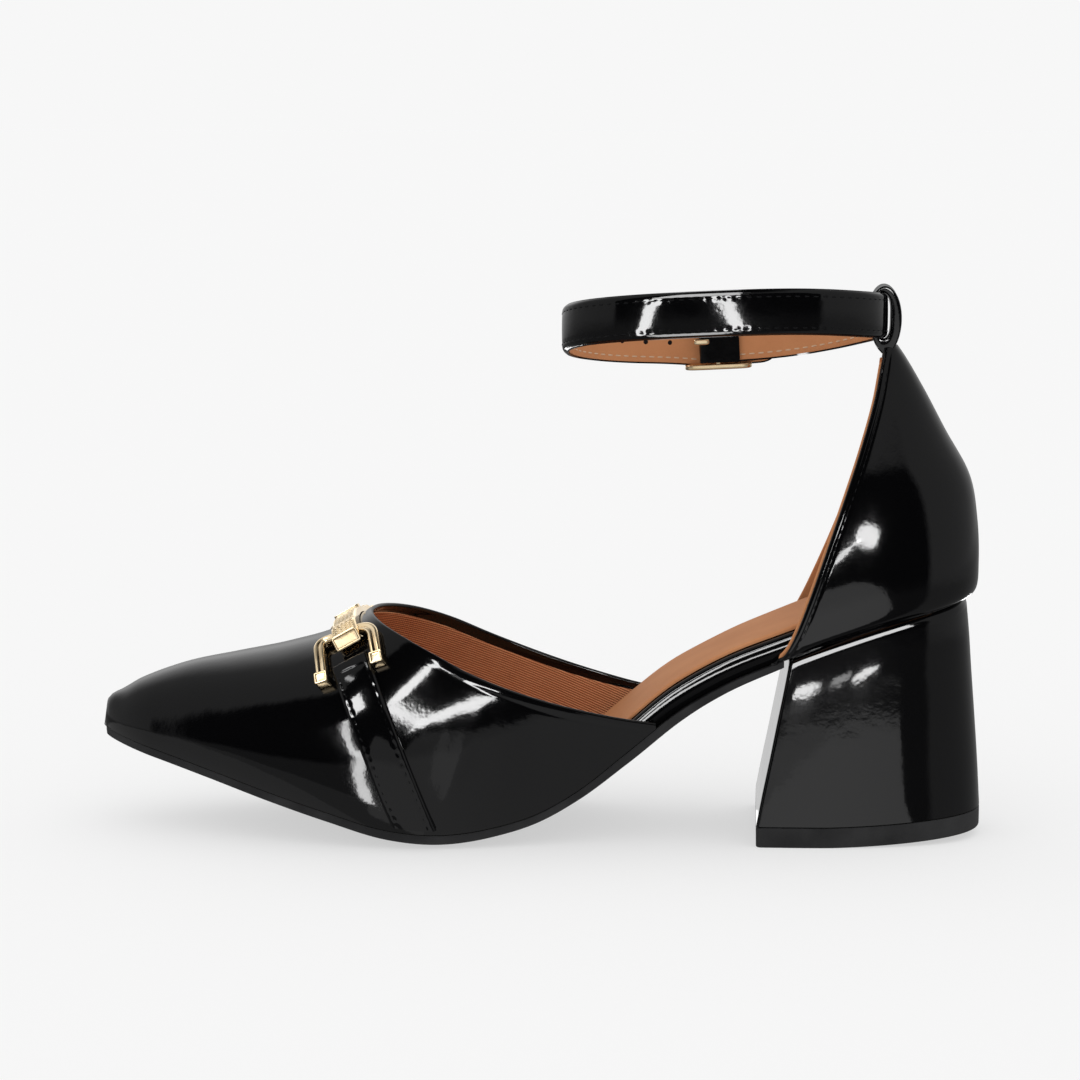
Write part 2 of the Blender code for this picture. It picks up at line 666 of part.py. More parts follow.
def rounded_path(points, radius, steps):
    """Open path through points, each inner corner replaced by a quadratic curve."""
    path = [points[0]]
    for before, corner, after in zip(points[:-2], points[1:-1], points[2:]):
        start = corner + radius * (before - corner) / np.linalg.norm(before - corner)
        end = corner + radius * (after - corner) / np.linalg.norm(after - corner)
        for t in np.linspace(0, 1, steps):
            path.append((1 - t) ** 2 * start + 2 * t * (1 - t) * corner + t * t * end)
    path.append(points[-1])
    fine = []
    for a, b in zip(path[:-1], path[1:]):
        count = int(np.ceil(np.linalg.norm(b - a) / PATH_STEP))
        fine.append(np.linspace(a, b, count, endpoint=False))
    return np.concatenate(fine + [path[-1:]])


def trim_bracket(bm, side):
    """Stirrup on the vamp's skin: two arms down from a rounded cross rod."""
    corners = np.stack((BRACKET["x"], BRACKET["from_middle"]), axis=-1)
    x, walked = rounded_path(corners, BRACKET_CORNER, 5).T
    middle = on_vamp(x, side * walked, GAP + BRACKET_HIGH / 2)
    normal = on_vamp(x, side * walked, GAP + BRACKET_HIGH) - middle
    normal /= np.linalg.norm(normal, axis=-1, keepdims=True)
    across_ = np.cross(np.gradient(middle, axis=0), normal)
    across_ /= np.linalg.norm(across_, axis=-1, keepdims=True)
    ease = BRACKET_EASE
    outline = ((1, ease), (ease, 1), (-ease, 1), (-1, ease),
               (-1, -ease), (-ease, -1), (ease, -1), (1, -ease))
    rings = [middle + a * BRACKET_WIDE / 2 * across_ + b * BRACKET_HIGH / 2 * normal for a, b in outline]
    ring_sweep(bm, np.stack(rings, axis=1))


def buckle_plate(bm, low):
    """Long plate of the buckle above or below the strap."""
    half = BUCKLE_LENGTH / 2
    box(bm, (-half, BUCKLE_INNER, low), (half, BUCKLE_OUTER, low + BUCKLE_ROD))


def buckle_rod(bm, middle, inner):
    """Upright rod of the buckle, from the lower plate's middle to the upper one's."""
    half, reach = BUCKLE_ROD / 2, (BUCKLE_HEIGHT - BUCKLE_ROD) / 2
    box(bm, (middle - half, inner, -reach), (middle + half, inner + BUCKLE_ROD, reach))


def buckle_prong(bm):
    """Straight prong over the tail, its tip resting on the front rod."""
    half = PRONG_ROD / 2
    square = ((-half, -half), (half, -half), (half, half), (-half, half))
    ring_sweep(bm, [[(along, out + a, b) for a, b in square] for along, out in (PRONG_ROOT, PRONG_TIP)])


def fuse(base, name, build):
    """Join another body to a part; the body itself stays with the cutters."""
    body = add_part(name, build, None)
    collection.objects.unlink(body)
    cutters.objects.link(body)
    body.hide_render = True
    body.display_type = "WIRE"
    body.parent = base
    join = base.modifiers.new(name, "BOOLEAN")
    join.object = body
    join.operation = "UNION"
    join.solver = "EXACT"


for stale in list(bpy.data.objects):
    bpy.data.objects.remove(stale, do_unlink=True)
collection = bpy.data.collections.new(COLLECTION)
bpy.context.scene.collection.children.link(collection)
cutters = bpy.data.collections.new("cutters")
bpy.context.scene.collection.children.link(cutters)

patent = plain_material("patent_black", PATENT_BLACK, 0.12, 0.0, 1.0)
rubber = plain_material("sole_black", RUBBER_BLACK, 0.55, 0.0)
tan = plain_material("sock_tan", SOCK_TAN, 0.5, 0.0)
gold = plain_material("trim_gold", GOLD, 0.22, 1.0)

add_part("outsole", outsole, rubber)
add_part("insole_board", insole_board, patent)
add_part("insole", insole, tan)
add_part("heel_block", heel_block, patent)
add_part("top_lift", top_lift, rubber)
add_part("vamp", vamp, patent)
for side, label in ((-1, "inner"), (1, "outer")):
    add_part(f"vamp_strap_{label}", lambda bm, s=side: vamp_strap(bm, s), patent)

counter_part = add_part("counter", counter, patent)
fuse(counter_part, "strap_loop_body", strap_loop)

trim = add_part("vamp_trim", trim_bar, gold)
for side, label in ((-1, "inner"), (1, "outer")):
    fuse(trim, f"trim_bracket_{label}", lambda bm, s=side: trim_bracket(bm, s))

add_part("ankle_strap", ankle_strap, patent)

plate_z = BUCKLE_HEIGHT / 2 - BUCKLE_ROD
frame = add_part("buckle_frame", lambda bm: buckle_plate(bm, plate_z), gold, smooth=False)
fuse(frame, "buckle_lower_plate", lambda bm: buckle_plate(bm, -BUCKLE_HEIGHT / 2))
outer_rod = BUCKLE_OUTER - BUCKLE_ROD
end_rod = (BUCKLE_LENGTH - BUCKLE_ROD) / 2
fuse(frame, "buckle_front_rod", lambda bm: buckle_rod(bm, -end_rod, outer_rod))
fuse(frame, "buckle_rear_rod", lambda bm: buckle_rod(bm, end_rod, outer_rod))
fuse(frame, "buckle_middle_rod", lambda bm: buckle_rod(bm, 0.0, BUCKLE_INNER))
prong = add_part("buckle_prong", buckle_prong, gold, smooth=False)
place, slope = buckle_place()
for piece in (frame, prong):
    piece.location = place
    piece.rotation_euler = (0.0, -np.arctan(slope), 0.0)
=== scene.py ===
"""Right-foot pump in black patent: pointed toe, low-cut sides, flared block heel and an ankle strap.

Metres, +Z up, floor at z = 0. The toe points to -X and the inner side of the foot is -Y.
"""

import bmesh
import bpy
import numpy as np
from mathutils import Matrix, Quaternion, Vector


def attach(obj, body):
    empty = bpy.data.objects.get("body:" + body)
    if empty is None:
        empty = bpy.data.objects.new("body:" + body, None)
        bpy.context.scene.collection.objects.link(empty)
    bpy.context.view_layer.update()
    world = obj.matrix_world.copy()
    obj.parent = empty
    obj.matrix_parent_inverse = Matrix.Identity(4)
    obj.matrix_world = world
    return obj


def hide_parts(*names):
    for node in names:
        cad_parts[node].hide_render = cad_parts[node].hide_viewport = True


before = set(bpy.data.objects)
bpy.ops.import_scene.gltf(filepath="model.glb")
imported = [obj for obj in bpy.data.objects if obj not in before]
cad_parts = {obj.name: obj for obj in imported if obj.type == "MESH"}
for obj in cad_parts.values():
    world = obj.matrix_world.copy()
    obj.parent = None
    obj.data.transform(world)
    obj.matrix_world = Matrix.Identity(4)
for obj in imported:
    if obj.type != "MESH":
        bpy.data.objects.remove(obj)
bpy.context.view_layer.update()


# Outsole
# A thin sheet of matt black rubber, cut to the outline of the last and cemented under the board.
# Its lower face is crowned, its edge is buffed round, and it ends just under the front of the heel.
TOE_X, SEAT_X, HEEL_X = -0.1233, 0.0670, 0.1187
TOE_ROUND, SEAT_FULLNESS, END_CROWDING = 0.0160, 3.0, 0.55
GAP = 0.0003
OUTSOLE_INSET, OUTSOLE_END_X, OUTSOLE_EDGE = 0.0005, 0.0683, 0.0008


def table(columns, *rows):
    """Columns of a station table by name."""
    return dict(zip(columns.split(), np.array(rows).T))


FEATHER = table(
    "x z half_in half_out",
    (-0.1233, 0.0272, 0.0095, 0.0095), (-0.1070, 0.0236, 0.0166, 0.0164),
    (-0.0900, 0.0194, 0.0239, 0.0230), (-0.0720, 0.0144, 0.0302, 0.0288),
    (-0.0560, 0.0100, 0.0340, 0.0324), (-0.0400, 0.0056, 0.0352, 0.0343),
    (-0.0270, 0.0042, 0.0346, 0.0349), (-0.0100, 0.0061, 0.0320, 0.0342),
    (0.0020, 0.0097, 0.0294, 0.0328), (0.0130, 0.0160, 0.0274, 0.0308),
    (0.0260, 0.0263, 0.0254, 0.0284), (0.0390, 0.0367, 0.0241, 0.0266),
    (0.0520, 0.0446, 0.0240, 0.0256), (0.0670, 0.0515, 0.0254, 0.0254),
    (0.0800, 0.0567, 0.0254, 0.0254), (0.1000, 0.0631, 0.0254, 0.0254),
    (0.1187, 0.0674, 0.0254, 0.0254))
OUTSOLE = table(
    "x thickness crown",
    (-0.1233, 0.0022, 0.0004), (-0.0800, 0.0024, 0.0012), (-0.0270, 0.0025, 0.0019),
    (0.0100, 0.0025, 0.0010), (0.0320, 0.0033, 0.0005), (0.0480, 0.0025, 0.0003),
    (0.0683, 0.0019, 0.0002))


def between(of, column, at, along="x"):
    """Smooth curve through a table's column: cubic pieces whose slopes are three-point differences."""
    stations, values = of[along], of[column]
    slope = np.gradient(values, stations)
    at = np.clip(at, stations[0], stations[-1])
    i = np.clip(np.searchsorted(stations, at, side="right") - 1, 0, len(stations) - 2)
    span = stations[i + 1] - stations[i]
    t = (at - stations[i]) / span
    rise = (1 + 2 * t) * (1 - t) ** 2 * values[i] + t * t * (3 - 2 * t) * values[i + 1]
    return rise + span * (t * (1 - t) ** 2 * slope[i] + t * t * (t - 1) * slope[i + 1])


def feather_z(x):
    """Height of the feather line, where upper and board meet the sole."""
    return between(FEATHER, "z", x)


def rounded(distance, radius, power):
    """Factor rising from 0 at an end to 1 a radius away, along a superellipse."""
    part = np.clip(1 - distance / radius, 0, 1)
    return (1 - part ** power) ** (1 / power)


def half_width(x, column, inset):
    """Half-width of the foot outline moved in by an inset, closed round the toe and the seat."""
    toe = rounded(x - TOE_X - inset, TOE_ROUND, 2.0)
    seat = rounded(HEEL_X - inset - x, HEEL_X - SEAT_X - inset, SEAT_FULLNESS)
    return (between(FEATHER, column, x) - inset) * toe * seat


def foot_stations(start, end, count):
    """Stations along the foot as a column, closer together near both ends."""
    turn = np.linspace(0, np.pi, count)[:, None]
    return start + (end - start) * (END_CROWDING * (1 - np.cos(turn)) / 2 + (1 - END_CROWDING) * turn / np.pi)


def unit(v):
    """Vectors scaled to length one."""
    return v / np.maximum(np.linalg.norm(v, axis=-1, keepdims=True), 1e-12)


def tube(rings):
    """Closed sections (rows, around, 3) as one grid: the seam column repeated, each end drawn to its middle."""
    rings = np.concatenate((rings, rings[..., :1, :]), axis=-2)
    middle = rings[..., :-1, :].mean(axis=-2, keepdims=True) + 0 * rings
    return np.concatenate((middle[..., :1, :, :], rings, middle[..., -1:, :, :]), axis=-3)


def sleeve(rings):
    """Closed thin sections as one grid: the seam column repeated, each end drawn to the middle of the wall."""
    rings = np.concatenate((rings, rings[:, :1]), axis=1)
    folded = (rings + rings[:, ::-1]) / 2
    return np.concatenate((folded[:1], rings, folded[-1:]), axis=0)


def add_piece(name, grids, material, stands_for=(), sharp=50):
    """One named piece from grids of points (..., rows, columns, 3), closed at seams and poles."""
    points, quads, start = [], [], 0
    for grid in grids if isinstance(grids, list) else [grids]:
        rows, columns = grid.shape[-3:-1]
        index = start + np.arange(grid[..., 0].size).reshape(-1, rows, columns)
        corners = (index[:, :-1, :-1], index[:, :-1, 1:], index[:, 1:, 1:], index[:, 1:, :-1])
        quads.append(np.stack(corners, axis=-1).reshape(-1, 4))
        points.append(grid.reshape(-1, 3))
        start += grid[..., 0].size
    points, quads = np.concatenate(points), np.concatenate(quads)
    mesh = bpy.data.meshes.new(name)
    mesh.from_pydata(points.tolist(), [], quads.tolist())
    bm = bmesh.new()
    bm.from_mesh(mesh)
    bmesh.ops.remove_doubles(bm, verts=bm.verts, dist=2e-6)
    bmesh.ops.dissolve_degenerate(bm, edges=bm.edges, dist=1e-7)
    bmesh.ops.recalc_face_normals(bm, faces=bm.faces)
    bm.to_mesh(mesh)
    bm.free()
    mesh.shade_smooth()
    mesh.set_sharp_from_angle(angle=np.radians(sharp))
    mesh.materials.append(material)
    piece = bpy.data.objects.new(name, mesh)
    bpy.context.scene.collection.objects.link(piece)
    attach(piece, "root")
    if stands_for:
        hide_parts(*stands_for)
    return piece


class Wire:
    """An output socket that joins in sums: each operator adds one Math node to its tree."""

    def __init__(self, tree, socket=None):
        self.tree = tree
        self.socket = socket

    def node(self, kind, sockets, output=0, **settings):
        """Add a node of a type: first its settings, then values or wires on its sockets."""
        made = self.tree.nodes.new(kind)
        for name, value in settings.items():
            if name == "stops":
                ramp = made.color_ramp.elements
                for place, colour in value[len(ramp):]:
                    ramp.new(place)
                for stop, (place, colour) in zip(ramp, value):
                    stop.position = place
                    stop.color = (*colour, 1.0)
            else:
                setattr(made, name, value)
        for name, value in sockets.items():
            if isinstance(value, Wire):
                self.tree.links.new(value.socket, made.inputs[name])
            else:
                made.inputs[name].default_value = value
        return Wire(self.tree, made.outputs[output])

    def math(self, operation, a, b=0.0):
        return self.node("ShaderNodeMath", {0: a, 1: b}, operation=operation)

    def drive(self, socket):
        self.tree.links.new(self.socket, socket)

    def __add__(self, other):
        return self.math("ADD", self, other)

    def __sub__(self, other):
        return self.math("SUBTRACT", self, other)

    def __rsub__(self, other):
        return self.math("SUBTRACT", other, self)

    def __mul__(self, other):
        return self.math("MULTIPLY", self, other)

    __radd__ = __add__
    __rmul__ = __mul__


def finish(name, colour, roughness, specular=0.5, metallic=0.0):
    """A Principled material of plain values; returns it, its shader's sockets and a wire to build from."""
    material = bpy.data.materials.new(name)
    material.use_nodes = True
    inputs = material.node_tree.nodes["Principled BSDF"].inputs
    inputs["Base Color"].default_value = (*colour, 1.0)
    inputs["Roughness"].default_value = roughness
    inputs["Specular IOR Level"].default_value = specular
    inputs["Metallic"].default_value = metallic
    return material, inputs, Wire(material.node_tree)


def noise(wire, scale, detail):
    """Cloudy noise over Object coordinates, so many blotches to the metre."""
    place = wire.node("ShaderNodeTexCoord", {}, output="Object")
    return wire.node("ShaderNodeTexNoise", {"Vector": place, "Scale": scale, "Detail": detail})


def relief(wire, inputs, height):
    """Bump from a height in metres."""
    wire.node("ShaderNodeBump", {"Height": height, "Distance": 1.0, "Strength": 1.0}).drive(inputs["Normal"])


def blotched(wire, inputs, mask, dark, light):
    """Base colour running from dark to light with a mask from 0 to 1."""
    colour = wire.node("ShaderNodeValToRGB", {"Fac": mask}, stops=((0.3, dark), (0.7, light)))
    colour.drive(inputs["Base Color"])


def sole_section(x):
    """Ring round the sole: the crowned lower face with rounded edges, then straight back over the top."""
    share = np.sin(np.linspace(-np.pi / 2, np.pi / 2, 45))[None, :]
    half_in = half_width(x, "half_in", OUTSOLE_INSET)
    half_out = half_width(x, "half_out", OUTSOLE_INSET)
    y = np.where(share < 0, share * half_in, share * half_out)
    edge = np.where(share < 0, half_in, half_out) - abs(y)
    top = feather_z(x) - GAP + 0 * y
    thickness = between(OUTSOLE, "thickness", x)
    crown = between(OUTSOLE, "crown", x) * rounded(x - TOE_X - OUTSOLE_INSET, TOE_ROUND, 2.0)
    into = np.clip(1 - edge / OUTSOLE_EDGE, 0, 1)
    round_off = OUTSOLE_EDGE * (1 - np.sqrt(1 - into ** 2))
    bottom = np.maximum(top - thickness - crown * (1 - share ** 4), 0) + round_off
    under = np.stack((x + 0 * y, y, bottom), axis=-1)
    over = np.stack((x + 0 * y, y, top), axis=-1)[:, ::-1]
    return np.concatenate((under, over), axis=1)


rubber, rubber_in, wire = finish("sole_black", (0.018, 0.018, 0.019), 0.5, specular=0.35)
grain = noise(wire, 1400.0, 3.0)
scuffs = noise(wire, 90.0, 4.0)
relief(wire, rubber_in, grain * 0.00006 + scuffs * 0.00012)
(scuffs * 0.35 + 0.36).drive(rubber_in["Roughness"])
blotched(wire, rubber_in, scuffs, (0.017, 0.017, 0.018), (0.030, 0.030, 0.031))
sole_x = foot_stations(TOE_X + OUTSOLE_INSET, OUTSOLE_END_X, 150)
add_piece("outsole_skin", tube(sole_section(sole_x)), rubber, ["outsole"])


# Insole board
# A firm board moulded to the arch and wrapped in the same patent as the upper. Along the waist, where the
# upper is cut away, its wrapped edge shows as a glossy rounded rand between sock and sole.
BOARD_INSET, BOARD_EDGE = 0.0028, 0.0016
RAND_BULGE = 0.0007
BOARD = table(
    "x thickness twist",
    (-0.1233, 0.0020, 0.000), (-0.0700, 0.0028, 0.000), (-0.0200, 0.0036, 0.000),
    (0.0130, 0.0056, 0.008), (0.0320, 0.0072, 0.018), (0.0450, 0.0066, 0.030),
    (0.0600, 0.0062, 0.026), (0.0900, 0.0057, 0.004), (0.1187, 0.0052, 0.000))


def board_top(x, y):
    """Height of the board's upper face, higher on the inner side along the waist."""
    return feather_z(x) + between(BOARD, "thickness", x) - between(BOARD, "twist", x) * y


def layer_section(x, inset, lower, upper, corner, bulge):
    """Ring round a flat layer on the last: bulging sides, rounded upper corners, straight underside."""
    half_in = half_width(x, "half_in", inset)
    half_out = half_width(x, "half_out", inset)
    rise = np.linspace(0, 1, 9)[None, :]
    turn = np.linspace(0, np.pi / 2, 9)[None, :]
    share = np.linspace(-1, 1, 21)[None, 1:-1]
    sides = []
    for half in (half_in, half_out):
        radius = np.minimum(corner, half)
        wall = half + bulge * np.sin(np.pi * rise) * rounded(half, 0.01, 2.0)
        arc = half - radius * (1 - np.cos(turn))
        drop = np.concatenate((corner * np.ones_like(wall), corner * (1 - np.sin(turn)) + 0 * arc), axis=1)
        height = np.concatenate((rise + 0 * half, 1 + 0 * arc), axis=1)
        sides.append((np.concatenate((wall, arc), axis=1), drop, height, half - radius))
    (in_y, in_drop, in_rise, in_flat), (out_y, out_drop, out_rise, out_flat) = sides
    flat = np.where(share < 0, share * in_flat, share * out_flat)
    y = np.concatenate((-in_y, flat, out_y[:, ::-1]), axis=1)
    drop = np.concatenate((in_drop, 0 * flat, out_drop[:, ::-1]), axis=1)
    rise = np.concatenate((in_rise, 1 + 0 * flat, out_rise[:, ::-1]), axis=1)
    low = lower(x, y)
    z = low + (upper(x, y) - drop - low) * rise
    return np.stack((x + 0 * y, y, z), axis=-1)


patent, patent_in, wire = finish("patent_black", (0.0018, 0.0018, 0.0021), 0.07)
slack = noise(wire, 55.0, 1.0)
pull = noise(wire, 300.0, 2.0)
peel = noise(wire, 1300.0, 1.0)
relief(wire, patent_in, slack * 0.00010 + pull * 0.000022 + peel * 0.000004)
(pull * 0.05 + 0.045).drive(patent_in["Roughness"])
board_x = foot_stations(TOE_X + BOARD_INSET, HEEL_X - BOARD_INSET, 190)
board_rings = layer_section(
    board_x, BOARD_INSET, lambda x, y: feather_z(x) + 0 * y, board_top, BOARD_EDGE, RAND_BULGE)
add_piece("rand_wrap", tube(board_rings), patent, ["insole_board"])


# Sock
# Smooth tan lining leather glued over the board from the toes to the heel. Its cut edge is turned down and its
# face, which is left bare, is crowned a little from edge to edge.
SOCK_INSET, SOCK_THICK, SOCK_FRONT_X = 0.0050, 0.0012, -0.1080
SOCK_EDGE, SOCK_CROWN = 0.0007, 0.0004


def sock_top(x, y):
    """Upper face of the sock: its thickness over the board, and a low crown towards the middle."""
    reach = np.where(y < 0, half_width(x, "half_in", SOCK_INSET), half_width(x, "half_out", SOCK_INSET))
    swell = 1 - np.clip(abs(y) / np.maximum(reach, 1e-6), 0, 1) ** 2.5
    return board_top(x, y) + GAP + SOCK_THICK + SOCK_CROWN * swell


def sock_rings(x):
    """Sections of the sock, narrowed to a round front end."""
    rings = layer_section(x, SOCK_INSET, lambda x, y: board_top(x, y) + GAP, sock_top, SOCK_EDGE, 0.0)
    rings[..., 1] *= rounded(x - SOCK_FRONT_X, TOE_ROUND, 2.0)
    return rings


tan, tan_in, wire = finish("sock_tan", (0.53, 0.24, 0.11), 0.55, specular=0.04)
pores = noise(wire, 2600.0, 2.0)
cloud = noise(wire, 60.0, 3.0)
relief(wire, tan_in, pores * 0.00003 + cloud * 0.00006)
blotched(wire, tan_in, cloud * 0.75 + pores * 0.25, (0.49, 0.212, 0.094), (0.57, 0.262, 0.122))
(pores * 0.2 + 0.46).drive(tan_in["Roughness"])
sock_x = foot_stations(SOCK_FRONT_X, HEEL_X - SOCK_INSET, 160)
add_piece("sock", tube(sock_rings(sock_x)), tan, ["insole"])


# Vamp
# The front of the upper, one piece of patent lasted over the toe, cut low behind the throat into two sides
# that run out to points at the waist. Its topline is folded in and backed with a ribbed brown lining.
VAMP_SHELL, VAMP_WALL, LINING_GAP = 0.0013, 0.0018, 0.00003
THROAT_X, VAMP_END_X = -0.0469, 0.0335
TOE_FRONT_ROUND, TOE_FRONT_FULLNESS = 0.0090, 2.8
FOLD_DEPTH = 0.0024
CREASE_TOP, CREASE_FOOT = np.array((-0.0125, 0.0425)), np.array((-0.0240, 0.0120))
CREASE_HIGH, CREASE_HALF = 0.00014, 0.0024
RIB_LEAN, RIB_SCALE = 69.0, 470.0
RIDGE = table(
    "x z y lean",
    (-0.1233, 0.0381, 0.0000, 0.20), (-0.1185, 0.0374, -0.0002, 0.22), (-0.1126, 0.0403, -0.0004, 0.24),
    (-0.1000, 0.0450, -0.0010, 0.28), (-0.0850, 0.0483, -0.0016, 0.32), (-0.0700, 0.0515, -0.0023, 0.35),
    (-0.0560, 0.0560, -0.0029, 0.37), (-0.0469, 0.0615, -0.0033, 0.38), (-0.0300, 0.0722, -0.0038, 0.38),
    (0.0000, 0.0890, -0.0042, 0.36), (0.0340, 0.1060, -0.0044, 0.30))
TOPLINE = table(
    "x z",
    (-0.0469, 0.0615), (-0.0360, 0.0573), (-0.0268, 0.0532), (-0.0178, 0.0487), (-0.0071, 0.0442),
    (0.0030, 0.0406), (0.0130, 0.0377), (0.0240, 0.0351), (0.0335, 0.0334))


def vamp_skin(x, theta):
    """Point of the last's front: theta runs from the inner feather over the ridge to the outer feather."""
    lean = between(RIDGE, "lean", x)
    ridge_y = between(RIDGE, "y", x)
    front = rounded(x - TOE_X, TOE_FRONT_ROUND, TOE_FRONT_FULLNESS)
    toe = rounded(x - TOE_X, TOE_ROUND, 2.0)
    half_in = (between(FEATHER, "half_in", x) + ridge_y) * toe
    half_out = (between(FEATHER, "half_out", x) - ridge_y) * toe
    half = np.where(theta < np.pi / 2, half_in, half_out)
    height = (between(RIDGE, "z", x) - feather_z(x)) * front
    y = ridge_y * toe - half * np.cos(theta) / np.cos(lean)
    z = feather_z(x) + height * (np.sin(theta) + np.sin(lean)) / (1 + np.sin(lean))
    return np.stack(np.broadcast_arrays(x, y, z), axis=-1)


def vamp_normal(x, theta):
    """Outward direction of the vamp's skin: the cross product of its two slopes."""
    step = 1e-4
    x = np.maximum(x, TOE_X + 4 * step)
    along = vamp_skin(x + step, theta) - vamp_skin(x - step, theta)
    over = vamp_skin(x, theta + step) - vamp_skin(x, theta - step)
    return unit(np.cross(along, over))


def vamp_grid(s, t):
    """Places (x, theta) on the vamp: s goes along the topline from one rear point round the throat to the
    other, t from the topline down to the feather. Lines near the ridge all end at the tip of the toe."""
    corner = 0.72
    near = 1 - abs(s)
    top_x = THROAT_X + (VAMP_END_X - THROAT_X) * (1 - near) ** 1.7
    lean = between(RIDGE, "lean", top_x)
    height = between(RIDGE, "z", top_x) - feather_z(top_x)
    sine = (between(TOPLINE, "z", top_x) - feather_z(top_x)) / height * (1 + np.sin(lean)) - np.sin(lean)
    top_theta = np.where(near >= 1, np.pi / 2, np.arcsin(np.clip(sine, -1, 1)))
    top_share = (top_theta + lean) / (np.pi / 2 + lean)
    low_x = TOE_X + (VAMP_END_X - TOE_X) * np.clip(1 - near / corner, 0, 1) ** 1.6
    low_share = np.clip((near - corner) / (1 - corner), 0, 1)
    x = top_x + (low_x - top_x) * t
    share = top_share + (low_share - top_share) * t
    lean = between(RIDGE, "lean", x)
    theta = -lean + share * (np.pi / 2 + lean)
    return x, np.where(s > 0, np.pi - theta, theta)


def rolled_sheet(outer, normal, thickness, both_rims):
    """Rings round a sheet: its outer skin, a half-round rim at one or both ends of the row, the inner skin
    back. Each ring starts in the middle of the first rim."""
    thickness = np.broadcast_to(thickness, (len(outer), 1, 1))
    inner = outer - thickness * normal
    turn = np.linspace(0, np.pi, 11)[1:-1][None, :, None]

    def rim(end, inward):
        """Half circle from the outer skin to the inner one, about the middle of the wall."""
        middle = (outer[:, end] + inner[:, end]) / 2
        away = outer[:, end] - outer[:, inward]
        n = normal[:, end]
        away = unit(away - (away * n).sum(axis=-1, keepdims=True) * n)
        reach = np.cos(turn) * n[:, None] + np.sin(turn) * away[:, None]
        return middle[:, None] + thickness / 2 * reach

    parts = [outer]
    if both_rims:
        parts.append(rim(-1, -2))
    parts.append(inner[:, ::-1])
    parts.append(rim(0, 1)[:, ::-1])
    return np.roll(np.concatenate(parts, axis=1), 5, axis=1)


def bell(distance, width):
    """Bell curve: 1 at no distance, falling off over a width."""
    return np.exp(-(distance / width) ** 2)


def signed_power(v, power):
    """Size of v to a power, with the sign of v."""
    return np.sign(v) * abs(v) ** power


def walked_along(path):
    """Distance gone along paths (..., points, 3), from 0 at each start."""
    steps = np.linalg.norm(np.diff(path, axis=-2), axis=-1)
    return np.concatenate((np.zeros_like(steps[..., :1]), np.cumsum(steps, axis=-1)), axis=-1)


def crease(points):
    """Soft ridge on the inner side: a bell across the line from top to foot, a sine along it."""
    line = CREASE_FOOT - CREASE_TOP
    away = points[..., (0, 2)] - CREASE_TOP
    along = np.clip((away * line).sum(axis=-1) / (line * line).sum(), 0, 1)
    across = (away[..., 0] * line[1] - away[..., 1] * line[0]) / np.linalg.norm(line)
    height = CREASE_HIGH * bell(across, CREASE_HALF) * np.sin(np.pi * along)
    return np.where(points[..., 1] < 0, height, 0)


s = signed_power(np.linspace(-1, 1, 321)[:, None], 0.9)
t = np.linspace(0, 1, 85)[None, :] ** 1.35
vamp_x, vamp_theta = vamp_grid(s, t)
vamp_outer = vamp_skin(vamp_x, vamp_theta)
vamp_out = vamp_normal(vamp_x, vamp_theta)
drop_length = walked_along(vamp_outer)[:, -1:]
below = t * drop_length
groove = 0.00005 * bell(below - 0.0021, 0.0005) - 0.00006 * bell(below - 0.0010, 0.0008)
vamp_outer = vamp_outer - groove[..., None] * vamp_out
vamp_outer = vamp_outer + crease(vamp_outer)[..., None] * vamp_out
vamp_rings = sleeve(rolled_sheet(vamp_outer, vamp_out, VAMP_SHELL, False))
add_piece("vamp_upper", vamp_rings, patent, ["vamp"])

start_t = np.minimum(FOLD_DEPTH / drop_length, 0.8)
lining_t = start_t + (0.985 - start_t) * np.linspace(0, 1, 60)[None, :]
lining_x, lining_theta = vamp_grid(s, lining_t)
lining_out = vamp_normal(lining_x, lining_theta)
lining_face = vamp_skin(lining_x, lining_theta) - (VAMP_SHELL + LINING_GAP) * lining_out
lining_rings = sleeve(rolled_sheet(lining_face, lining_out, VAMP_WALL - VAMP_SHELL, False))


def wale(wire, lean, scale, sockets):
    """Fine ribs over Object coordinates, leaning by an angle in the side view."""
    place = wire.node("ShaderNodeTexCoord", {}, output="Object")
    turned = wire.node("ShaderNodeMapping", {"Vector": place, "Rotation": (0.0, np.radians(lean), 0.0)})
    return wire.node("ShaderNodeTexWave", {"Vector": turned, "Scale": scale, **sockets}, output="Fac",
                     bands_direction="X")


twill, twill_in, wire = finish("twill_brown", (0.45, 0.17, 0.08), 0.8, specular=0.1)
ribs = wale(wire, RIB_LEAN, RIB_SCALE, {"Distortion": 0.35, "Detail": 1.0, "Detail Scale": 2.0})
floats = wale(wire, RIB_LEAN - 60, RIB_SCALE * 1.3, {"Distortion": 0.4})
dye = noise(wire, 120.0, 3.0)
relief(wire, twill_in, ribs * 0.00016 + floats * 0.00005)
# The rib mask also darkens the colour along each groove: painted shade over the real woven rib pattern.
blotched(wire, twill_in, ribs * 0.6 + floats * 0.2 + dye * 0.2, (0.36, 0.118, 0.050), (0.82, 0.36, 0.175))
add_piece("vamp_lining", lining_rings, twill)


# Side straps
# A folded strap of patent on each side of the vamp, from the trim down to the sole, slanting back. Both long
# edges and the top end are sewn through with black thread, which draws the skin into a row of puckers.
TRIM_MIDDLE = 0.0030
SIDE_TOP_X, SIDE_TOP, SIDE_SLANT, SIDE_HALF, SIDE_THICK = -0.0503, 0.0272, 0.325, 0.0049, 0.0015
SIDE_FOOT_LEAN, SIDE_LENGTH, SIDE_EDGE, SIDE_TOP_SEAM = 0.9, 0.050, 0.0009, 0.0040
STITCH_PITCH, STITCH_IN, STITCH_RADIUS = 0.0026, 0.0014, 0.00018


